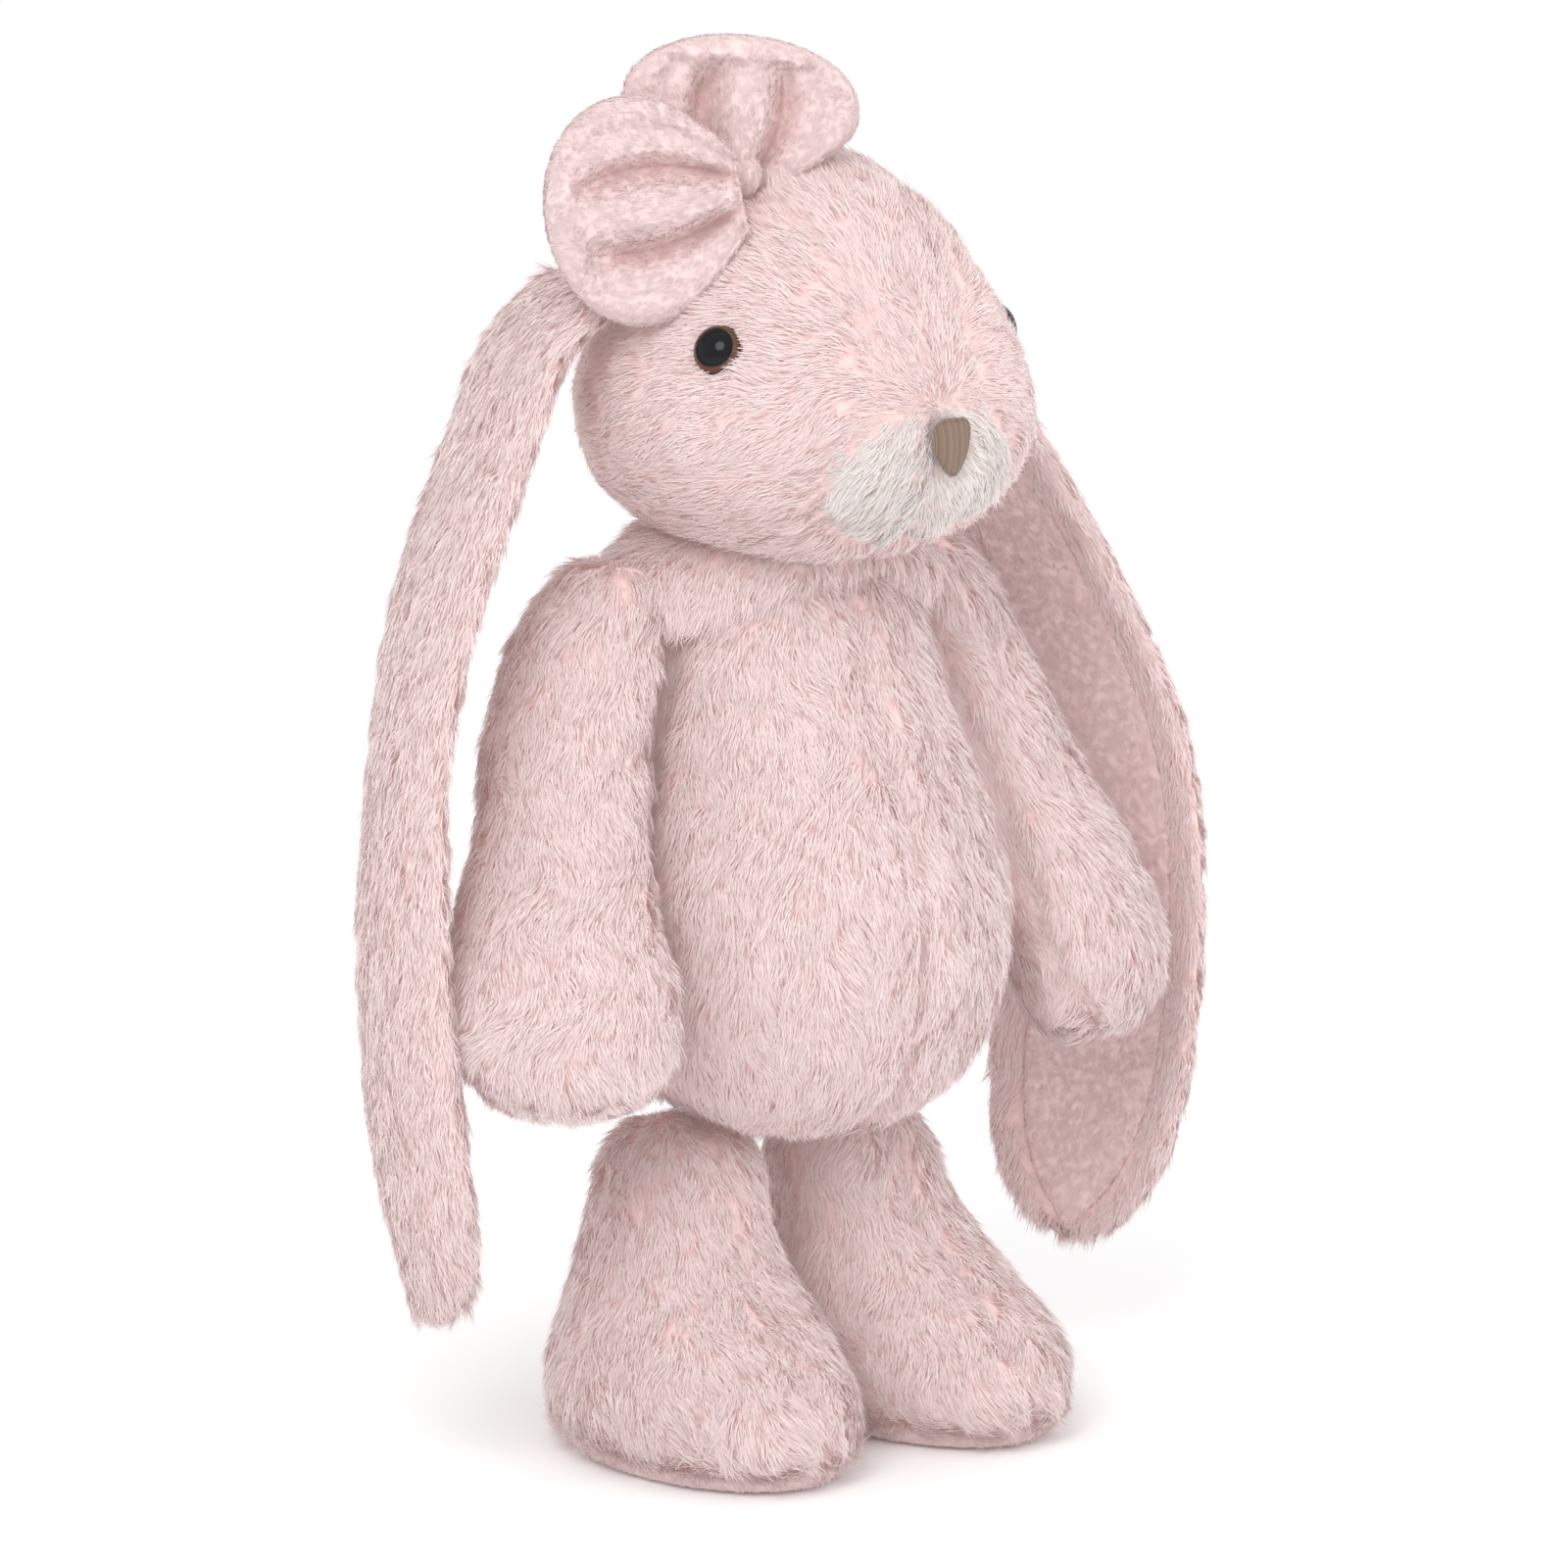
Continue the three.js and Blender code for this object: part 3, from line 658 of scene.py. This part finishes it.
def smooth_curve(points, steps=60):
    """Close samples of a centripetal Catmull-Rom curve, and each one's share of the length."""
    points = np.asarray(points, dtype=float)
    ends = [2 * points[0] - points[1], *points, 2 * points[-1] - points[-2]]
    samples = []
    for i in range(1, len(ends) - 2):
        a, b, c, d = ends[i - 1:i + 3]
        ab, bc, cd = (np.sqrt(np.linalg.norm(q - p)) for p, q in ((a, b), (b, c), (c, d)))
        leave = ((b - a) / ab - (c - a) / (ab + bc) + (c - b) / bc) * bc
        arrive = ((c - b) / bc - (d - b) / (bc + cd) + (d - c) / cd) * bc
        for w in np.linspace(0, 1, steps, endpoint=False):
            square, cube = w * w, w**3
            samples.append((2 * cube - 3 * square + 1) * b + (cube - 2 * square + w) * leave
                           + (3 * square - 2 * cube) * c + (cube - square) * arrive)
    samples = np.array([*samples, points[-1]])
    gaps = np.linalg.norm(np.diff(samples, axis=0), axis=1)
    shares = np.concatenate([[0], np.cumsum(gaps)]) / gaps.sum()
    return samples, shares


def ear_place(side, t):
    """Centre, and the along, across and inward directions of an ear at share t of its length."""
    arc = [(side * x, y, z) for x, y, z in EAR_ARCS[side]]
    samples, shares = smooth_curve(arc)

    def at(share):
        return np.array([np.interp(share, shares, samples[:, k]) for k in range(3)])

    step = 0.004
    along = unit(at(min(t + step, 1)) - at(max(t - step, 0)))
    twist = math.radians(EAR_TWIST) * min(2 * t, 1)
    across = np.array([side * math.sin(twist), -math.cos(twist), 0])
    across = unit(across - along * (along @ across))
    inward = side * np.cross(along, across)
    return at(t) * MM + DRAWING, along, across, inward


def ear_half_width(t):
    """Narrow at the head, widest near the end, and rounded off at the tip."""
    spread = min(t / EAR_WIDE_FROM, 1)
    tip = max((t - EAR_ROUND_FROM) / (1 - EAR_ROUND_FROM), 0)
    wide = EAR_WIDEST * (0.55 + 0.45 * spread * spread * (3 - 2 * spread))
    return wide / 2 * math.sqrt(max(1 - tip**2.4, 0.003))


def ear_ring(side, t, half, middle, half_thick, ripple=0.0):
    """One closed cross-section of a layer of an ear, curled towards the inside."""
    centre, _, across, inward = ear_place(side, t)
    upper, lower = EAR_CUP[side]
    blend = min(max((t - 0.45) / 0.3, 0), 1)
    curl = (upper + (lower - upper) * blend) * min(3 * t, 1)
    whole = max(ear_half_width(t), 1.0)
    ring = []
    for angle in EAR_ANGLES:
        share = math.copysign(abs(math.cos(angle)) ** 0.6, math.cos(angle))
        thick = math.copysign(abs(math.sin(angle)) ** 0.7, math.sin(angle))
        bend = share * half / whole * curl
        radius = whole / max(curl, 0.05)
        wave = ripple * math.sin(9 * t * math.pi + 3 * share) * (1 - share**2)
        offset = middle + half_thick * thick + wave
        x = radius * math.sin(bend) - offset * math.sin(bend)
        y = radius * (1 - math.cos(bend)) + offset * math.cos(bend)
        ring.append(centre + (across * x + inward * y) * MM)
    return ring


def ear_layers(side):
    """A whole ear as rings: each one's share of the length, its skin, its lining, how far each
    point of the skin is from the lining, and which of them carry pile."""
    upper, lower = np.linspace(0, EAR_CUT, EAR_ROWS), np.linspace(EAR_CUT, 1, EAR_ROWS)[1:]
    shares = np.concatenate([upper, lower])
    skin, lining, seam, furry = [], [], [], []
    for t in shares:
        half = ear_half_width(t)
        skin.append(ear_ring(side, t, half, EAR_MIDDLE, EAR_HALF_THICK))
        lining.append(ear_ring(side, t, max(half - EAR_RIM, 0.8), **EAR_LINING))
        edge = 1 - EAR_RIM / max(half, EAR_RIM)
        share = np.abs(np.cos(EAR_ANGLES)) ** 0.6
        inner = np.sin(EAR_ANGLES) > 0.05
        seam.append(np.where(inner, np.maximum(share - edge, 0) * half * MM, 1.0))
        furry.append(~inner | (share > edge))
    return shares, np.array(skin), np.array(lining), np.array(seam), np.array(furry)


def add_ear(side):
    name = SIDES[side]
    shares, skin_rings, lining_rings, seam, furry = ear_layers(side)
    skin_normals, lining_normals = ring_normals(skin_rings), ring_normals(lining_rings)
    samples = np.array([ear_place(side, t)[0] for t in shares])
    headings = np.array([ear_place(side, t)[1] for t in shares])

    def along_ear(points, normals):
        gaps = ((points[:, None] - samples[None]) ** 2).sum(axis=2)
        nearest = np.argmin(gaps, axis=1)
        return headings[nearest] + 0.15 * normals

    upper, lower = f"ear_{name}_upper", f"ear_{name}_lower"
    parts = {
        "upper": (slice(0, EAR_ROWS), "head", upper, LIFT_SPAN, ["root", "upper"]),
        "lower": (slice(EAR_ROWS - 1, None), upper, lower, BEND_SPAN, ["lower"]),
    }
    for part, (rows, body, next_body, span, nodes) in parts.items():
        label = f"ear_{name}_{part}"
        skin = grid_piece(f"{label}_backing", skin_rings[rows], PINK_BACKING)
        surface = bare_surface(skin, seam[rows].ravel())
        surface["normals"] = skin_normals[rows].reshape(-1, 3)
        keep = furry[rows].ravel()[surface["triangles"]].all(axis=1)
        keep &= on_side(surface["triangles"], EAR_COLUMNS)
        seed = 40 * side + len(nodes)
        fur = pile(f"{label}_pile", surface, keep, along_ear, PINK_PILE, 600 + seed,
                   length=6.2, lift=0.3, swirl=0.2, spacing=1.3)
        lining = grid_piece(f"{label}_lining", lining_rings[rows], MINKY_BACKING)
        nap_surface = bare_surface(lining)
        nap_surface["normals"] = lining_normals[rows].reshape(-1, 3)
        shown = np.tile(NAP_COLUMNS, len(lining_rings[rows]))
        nap_shown = shown[nap_surface["triangles"]].all(axis=1)
        nap_shown &= on_side(nap_surface["triangles"], EAR_COLUMNS)
        nap = pile(f"{label}_nap", nap_surface, nap_shown, along_ear, MINKY_PILE, 700 + seed, **NAP)
        outer_nodes = [f"ear_{name}_outer_{node}" for node in nodes]
        lining_nodes = [f"ear_{name}_lining_{node}" for node in nodes]
        first, last = (tuple(ear_place(side, t)[0]) for t in span)
        for piece, slot, stands_for in (
            (skin, "pink_plush", outer_nodes),
            (fur, "pink_plush", outer_nodes),
            (lining, "pink_minky", lining_nodes),
            (nap, "pink_minky", lining_nodes),
        ):
            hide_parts(*stands_for)
            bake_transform(piece)


# ---- Bow ----


# A fold's width is a share of the lobe's half width, and its depth a share of the padding.
FOLD_WIDTH = 0.11
FOLD_DEPTH = 0.85
# How many of the strands at the bottom of a fold take the deep tone of painted shade.
FOLD_PAINTED_SHADE = 0.9


def lobe_matrix(lobe):
    place = Matrix.Translation(Vector(BOW["place"]) * MM + Vector(DRAWING))
    yaw = Matrix.Rotation(math.radians(-BOW["yaw"]), 4, "Z")
    forward = Matrix.Translation((0, -lobe["forward"] * MM, 0))
    return place @ yaw @ forward @ Matrix.Rotation(math.radians(-lobe["lean"]), 4, "Y")


def lobe_half_width(lobe, reach):
    outline = math.sqrt(max(1 - max((reach - 0.52) / 0.48, 0) ** 2.2, 0.0))
    spread = 0.34 + 0.66 * math.sin(math.pi / 2 * min(reach / 0.52, 1))
    return lobe["half_wide"] * spread * max(outline, 0.03)


def lobe_ring(lobe, reach, columns=96):
    """One cross-section of a padded loop: a thick rolled rim round a pleated dish."""
    wide = lobe_half_width(lobe, reach)
    outline = math.sqrt(max(1 - max((reach - 0.6) / 0.4, 0) ** 2.6, 0.0))
    thick = BOW["padding"] * (0.8 + 0.25 * min(reach / 0.5, 1)) * max(outline, 0.03) ** 0.8
    ring = []
    for j in range(columns):
        angle = 2 * math.pi * j / columns
        share = math.copysign(abs(math.cos(angle)) ** 0.9, math.cos(angle))
        up = math.copysign(abs(math.sin(angle)) ** 0.75, math.sin(angle))
        from_edge = min(1 - abs(share), (1 - reach) * 1.25)
        inside = min(max((from_edge - 0.14) / 0.16, 0), 1)
        dish = 1 - 0.5 * inside * inside * (3 - 2 * inside)
        fold = sum(math.exp(-(((share - v) / FOLD_WIDTH) ** 2)) for v in lobe["valleys"])
        middle_fold = math.exp(-(((share - sum(lobe["valleys"]) / 2) / 0.19) ** 4))
        fade = min(reach / 0.12, 1) * min(max((0.88 - reach) / 0.25, 0), 1)
        pushed_back = FOLD_DEPTH * fold if up < 0 else 0.35 * FOLD_DEPTH * fold
        y = thick * (up * (dish + 0.34 * middle_fold * fade) + pushed_back * fade)
        ring.append((share * wide * MM, y * MM, reach * lobe["length"] * MM))
    return ring


def add_bow_lobe(lobe, seed):
    matrix = lobe_matrix(lobe)
    reaches = np.concatenate([np.linspace(0.02, 0.8, 34), np.linspace(0.82, 0.999, 22)])
    rings = [[tuple(matrix @ Vector(p)) for p in lobe_ring(lobe, reach)] for reach in reaches]
    skin = grid_piece(f"{lobe['name']}_cloth", rings, BOW_BACKING)
    centre = np.array(matrix.translation)
    surface = bare_surface(skin)
    everywhere = np.ones(len(surface["triangles"]), dtype=bool)

    def from_gather(points, normals):
        return unit(points - centre) + 0.25 * normals

    inverse = np.array(matrix.inverted())
    stations = np.linspace(0, 1, 41)
    half_widths = np.array([lobe_half_width(lobe, station) for station in stations]) * MM

    # Painted shade: how much of the nap takes the deeper pink tone, strongest along the bottoms of
    # the folds.
    def painted_fold_shade(points):
        local = points @ inverse[:3, :3].T + inverse[:3, 3]
        reach = local[:, 2] / (lobe["length"] * MM)
        share = local[:, 0] / np.maximum(np.interp(reach, stations, half_widths), 1e-4)
        nearest = np.min([np.abs(share - v) for v in lobe["valleys"]], axis=0)
        fade = np.clip((0.86 - reach) / 0.25, 0, 1)
        return np.exp(-((nearest / FOLD_WIDTH) ** 2)) * fade * FOLD_PAINTED_SHADE

    nap = pile(f"{lobe['name']}_nap", surface, everywhere, from_gather, BOW_PILE, seed,
               deep=painted_fold_shade, **NAP)
    fixed((skin, nap), lobe["name"], "head")


def add_bow_gather():
    """The pinched middle of the bow, mostly buried in the pile of the head."""
    low, high = (np.array(corner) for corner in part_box("bow_gather"))
    middle, half = (low + high) / 2, (high - low) / 2
    rings = []
    for up in np.linspace(-0.98, 0.98, 15):
        size = math.sqrt(1 - up * up)
        ring = []
        for j in range(40):
            angle = 2 * math.pi * j / 40
            pinch = 1 - 0.10 * (0.5 + 0.5 * math.cos(9 * angle))
            reach = np.array([math.cos(angle) * pinch * size, math.sin(angle) * pinch * size, up])
            ring.append(middle + half * reach)
        rings.append(ring)
    skin = grid_piece("bow_gather_cloth", rings, BOW_BACKING)
    surface = bare_surface(skin)
    everywhere = np.ones(len(surface["triangles"]), dtype=bool)
    nap = pile("bow_gather_nap", surface, everywhere, downward, BOW_PILE, 820, **NAP)
    fixed((skin, nap), "bow_gather", "head")


# ---- Neck, eyes, nose, soles and label ----


# The yoke's rings, a little behind the neck: (half width, half depth, height) in millimetres.
# Its pile grows only this far out from the neck's middle, and above this height.
YOKE_BEHIND = 6
YOKE_PILE_OUT = 15
YOKE_PILE_ABOVE = 173
YOKE_RINGS = [
    (10, 8, 168), (26, 14, 169), (36, 19, 171), (40, 22, 174), (41, 24, 178),
    (39, 25, 182), (33, 24.5, 186), (25, 23, 190), (12, 12, 192),
]


def add_neck():
    """A yoke of pile that slopes from under the head onto the shoulders."""
    low, high = (np.array(corner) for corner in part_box("neck_stuffing"))
    middle = (low + high) / 2
    angles = np.linspace(0, 2 * math.pi, 64, endpoint=False)
    rings = []
    for half_wide, half_deep, height in YOKE_RINGS:
        ring = np.stack([
            np.cos(angles) * half_wide * MM + middle[0],
            np.sin(angles) * half_deep * MM + middle[1] + YOKE_BEHIND * MM,
            np.full(64, height * MM),
        ], axis=1)
        rings.append(ring)
    skin = grid_piece("neck_backing", rings, PINK_BACKING)
    surface = bare_surface(skin)
    centres = surface["points"][surface["triangles"]].mean(axis=1)
    keep = np.linalg.norm(centres[:, :2] - middle[:2], axis=1) > YOKE_PILE_OUT * MM
    keep &= centres[:, 2] > YOKE_PILE_ABOVE * MM

    def outwards_and_down(points, normals):
        outwards = unit((points - middle) * np.array([1, 1, 0]))
        return outwards * 0.6 + np.array([0.0, 0.0, -1.0])

    fur = pile("neck_pile", surface, keep, outwards_and_down, PINK_PILE, 900, lift=0.3)
    fixed((skin, fur), "neck_stuffing", "neck")


def eye_matrix(side):
    turn, tilt = math.radians(EYE["from_front"]), math.radians(EYE["tilt_up"])
    level = Vector((side * math.sin(turn), -math.cos(turn), 0))
    look = level * math.cos(tilt) + Vector((0, 0, math.sin(tilt)))
    seat = level * EYE["seat"] + Vector((0, -1, EYE["height"]))
    turned = look.to_track_quat("Z", "Y").to_matrix().to_4x4()
    return Matrix.Translation(seat * MM + Vector(DRAWING)) @ turned


def add_eye(side):
    """A polished dome with a black pupil in a brown ring, and a fine flange under it."""
    matrix = eye_matrix(side)
    radius = EYE["radius"]
    dome = []
    for k in range(19):
        angle = math.pi / 2 * k / 18
        dome.append((radius * math.cos(angle), EYE["dome"] * math.sin(angle)))
    profile = [(radius * 0.8, -1.6), (radius * 0.98, -1.2), (radius * 1.03, -0.5), *dome]
    rings = []
    for r, height in profile[:-1]:
        ring = []
        for j in range(48):
            angle = 2 * math.pi * j / 48
            point = Vector((r * math.cos(angle), r * math.sin(angle), height)) * MM
            ring.append(tuple(matrix @ point))
        rings.append(ring)
    piece = grid_piece(f"eye_{SIDES[side]}_dome", rings, PUPIL)
    piece.data.materials.append(IRIS)
    inverse = matrix.inverted()
    for polygon in piece.data.polygons:
        local = inverse @ polygon.center
        out = math.hypot(local.x, local.y) / (radius * MM)
        polygon.material_index = 1 if IRIS_RING[0] < out < IRIS_RING[1] else 0
    fixed([piece], f"eye_{SIDES[side]}", "head")


def thread_tube(path, radius, sides=6):
    """Rings round a path, for one thread."""
    path = np.asarray(path)
    rings = []
    for i, p in enumerate(path):
        heading = unit(path[min(i + 1, len(path) - 1)] - path[max(i - 1, 0)])
        side = unit(np.cross(heading, [0.1, 1.0, 0.2]))
        lift = np.cross(side, heading)
        size = radius * (0.4 if i in (0, len(path) - 1) else 1.0)
        ring = []
        for j in range(sides):
            angle = 2 * math.pi * j / sides
            ring.append(p + (side * math.cos(angle) + lift * math.sin(angle)) * size)
        rings.append(ring)
    return rings


def thread_piece(name, paths, radius):
    """Satin stitches in three close tones, as one mesh."""
    stitched = bmesh.new()
    for i, path in enumerate(paths):
        tone = (i * 7 // 3) % 3
        rows = [[stitched.verts.new(p) for p in ring] for ring in thread_tube(path, radius)]
        for low, high in zip(rows, rows[1:]):
            for j in range(len(low)):
                k = (j + 1) % len(low)
                face = stitched.faces.new((low[j], low[k], high[k], high[j]))
                face.material_index = tone
                face.smooth = True
        for end in (rows[0][::-1], rows[-1]):
            stitched.faces.new(end).material_index = tone
    bmesh.ops.recalc_face_normals(stitched, faces=stitched.faces)
    mesh = bpy.data.meshes.new(name)
    stitched.to_mesh(mesh)
    stitched.free()
    for material in THREADS:
        mesh.materials.append(material)
    return new_object(name, mesh)


def add_nose():
    """Satin stitches over a padded triangle with rounded corners and its point down."""
    top, tall = NOSE["half_top"], NOSE["half_tall"]
    rng = np.random.default_rng(33)
    paths = []
    count = 27
    for layer in range(2):
        for i in range(count):
            across = -1 + 2 * (i + 0.5 * layer) / count
            high = tall * (1 - 0.30 * across**4)
            low = -tall * (1 - 0.75 * across**2)
            path = []
            for step in np.linspace(0, 1, 9):
                z = high + (low - high) * step
                lean = across * top * (1 - 0.16 * step) - 0.25 * step
                swell = math.sin(math.pi * (0.06 + 0.88 * step)) ** 0.5
                dome = 2.3 * math.sqrt(max(1 - (across * 0.96) ** 2, 0)) * swell
                y = NOSE["y"] - dome + 0.9 - 0.18 * layer + rng.normal(0, 0.025)
                path.append(np.array([lean, y, NOSE["height"] + z]) * MM + DRAWING)
            paths.append(path)
    piece = thread_piece("nose_threads", paths, 0.23 * MM)
    fixed([piece], "nose_embroidery", "head")


# The sole's rings: (share of its outline, share of its thickness).
SOLE_RINGS = [
    (0.6, 0.02), (0.90, 0.02), (0.95, 0.2), (0.965, 0.45), (0.965, 0.75), (0.94, 0.98),
    (0.6, 1.0),
]


def add_sole(side):
    name = SIDES[side]
    node = f"foot_{name}_sole"
    low, high = (np.array(corner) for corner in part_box(node))
    middle, half = (low + high) / 2, (high - low) / 2
    angles = np.linspace(0, 2 * math.pi, 64, endpoint=False)
    rings = []
    for share, up in SOLE_RINGS:
        rings.append(np.stack([
            middle[0] + half[0] * share * np.cos(angles),
            middle[1] + half[1] * share * np.sin(angles),
            np.full(64, low[2] + up * (high[2] - low[2])),
        ], axis=1))
    skin = grid_piece(f"{node}_cloth", rings, BOW_BACKING)
    surface = bare_surface(skin)
    facing = surface["normals"][surface["triangles"]].mean(axis=1)
    height = surface["points"][surface["triangles"]].mean(axis=1)[:, 2]
    keep = (np.abs(facing[:, 2]) < 0.9) & (height > low[2] + 0.6 * MM)
    nap = pile(f"{node}_nap", surface, keep, downward, BOW_PILE, 950 + side, **NAP)
    fixed((skin, nap), node, f"leg_{name}")
    add_sole_mark(side)


def add_sole_mark(side):
    """A plain stitched oval under the foot."""
    name = SIDES[side]
    node = f"sole_{name}_stitched_mark"
    low, high = (np.array(corner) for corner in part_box(node))
    middle, half = (low + high) / 2, (high - low) / 2
    paths = []
    for i in range(31):
        across = -0.97 + 1.94 * i / 30
        reach = half[1] * math.sqrt(1 - across**2)
        x, z = middle[0] + half[0] * across, low[2] + 0.25 * MM
        paths.append([np.array([x, middle[1] + reach * step, z]) for step in np.linspace(-1, 1, 5)])
    piece = thread_piece(f"{node}_threads", paths, 0.24 * MM)
    fixed([piece], node, f"leg_{name}")


def add_label():
    """A blank satin tape with its two layers folded at the outer end."""
    low, high = (np.array(corner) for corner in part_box("care_label"))
    middle = (low + high) / 2
    length, half_tall = high[1] - low[1], (high[2] - low[2]) / 2
    rings = []
    for step in np.linspace(0, 1, 25):
        wave = 0.5 * MM * math.sin(2.2 * math.pi * step)
        thick = 0.35 * MM * math.sqrt(max(1 - max((step - 0.9) / 0.1, 0) ** 2, 0.02))
        y = low[1] - 0.003 + (length + 0.002) * step
        left, right = middle[0] + wave - thick, middle[0] + wave + thick
        bottom, top = middle[2] - half_tall, middle[2] + half_tall
        rings.append([(left, y, bottom), (left, y, top), (right, y, top), (right, y, bottom)])
    piece = grid_piece("care_label_tape", rings, SATIN)
    fixed([piece], "care_label", "torso")


make_torso()
make_head()
for side in SIDES:
    make_arm(side)
    make_leg(side)
    add_ear(side)
    add_eye(side)
    add_sole(side)
make_tail()
for seed, lobe in enumerate(BOW_LOBES, 800):
    add_bow_lobe(lobe, seed)
add_bow_gather()
add_neck()
add_nose()
add_label()


# ---- Floor, light and camera ----

FLOOR_SIZE = 6
FLOOR_GAP = 0.0004
LAMP_TARGET = (0, 0, 0.15)
CAMERA_AZIMUTH = -38
CAMERA_ELEVATION = 10
CAMERA_DISTANCE = 1.5
CAMERA_AIM = (-0.0037, -0.0023, 0.137)
VIEW_WIDTH = 0.3232


def make_floor():
    height = cad_box[0].z - FLOOR_GAP
    bpy.ops.mesh.primitive_plane_add(size=FLOOR_SIZE, location=(0, 0, height))
    floor = bpy.context.object
    floor.name = "floor"
    floor.data.materials.append(plain_material("floor_paper", (0.99, 0.99, 0.99)))


def make_light(name, place, size, power):
    """A round soft lamp, turned to the toy."""
    light = bpy.data.lights.new(name, "AREA")
    light.shape = "DISK"
    light.size = size
    light.energy = power
    lamp = bpy.data.objects.new(name, light)
    bpy.context.collection.objects.link(lamp)
    lamp.location = place
    look = Vector(LAMP_TARGET) - Vector(place)
    lamp.rotation_euler = look.to_track_quat("-Z", "Y").to_euler()


def make_world():
    world = bpy.data.worlds.new("studio")
    world.use_nodes = True
    world.node_tree.nodes["Background"].inputs["Color"].default_value = (1, 1, 1, 1)
    world.node_tree.nodes["Background"].inputs["Strength"].default_value = 1.0
    bpy.context.scene.world = world
    bpy.context.scene.view_settings.view_transform = "Standard"


def make_camera():
    turn, tilt = math.radians(CAMERA_AZIMUTH), math.radians(CAMERA_ELEVATION)
    level = Vector((math.sin(turn), -math.cos(turn), 0))
    back = level * math.cos(tilt) + Vector((0, 0, math.sin(tilt)))
    data = bpy.data.cameras.new("camera")
    data.lens = data.sensor_width * CAMERA_DISTANCE / VIEW_WIDTH
    camera = bpy.data.objects.new("camera", data)
    bpy.context.collection.objects.link(camera)
    camera.location = Vector(CAMERA_AIM) + back * CAMERA_DISTANCE
    camera.rotation_euler = (-back).to_track_quat("-Z", "Y").to_euler()
    bpy.context.scene.camera = camera


make_floor()
make_light("key", (-1.2, -0.9, 1.3), size=1.0, power=13)
make_light("fill", (0.6, -1.6, 0.6), size=1.2, power=5)
make_world()
make_camera()
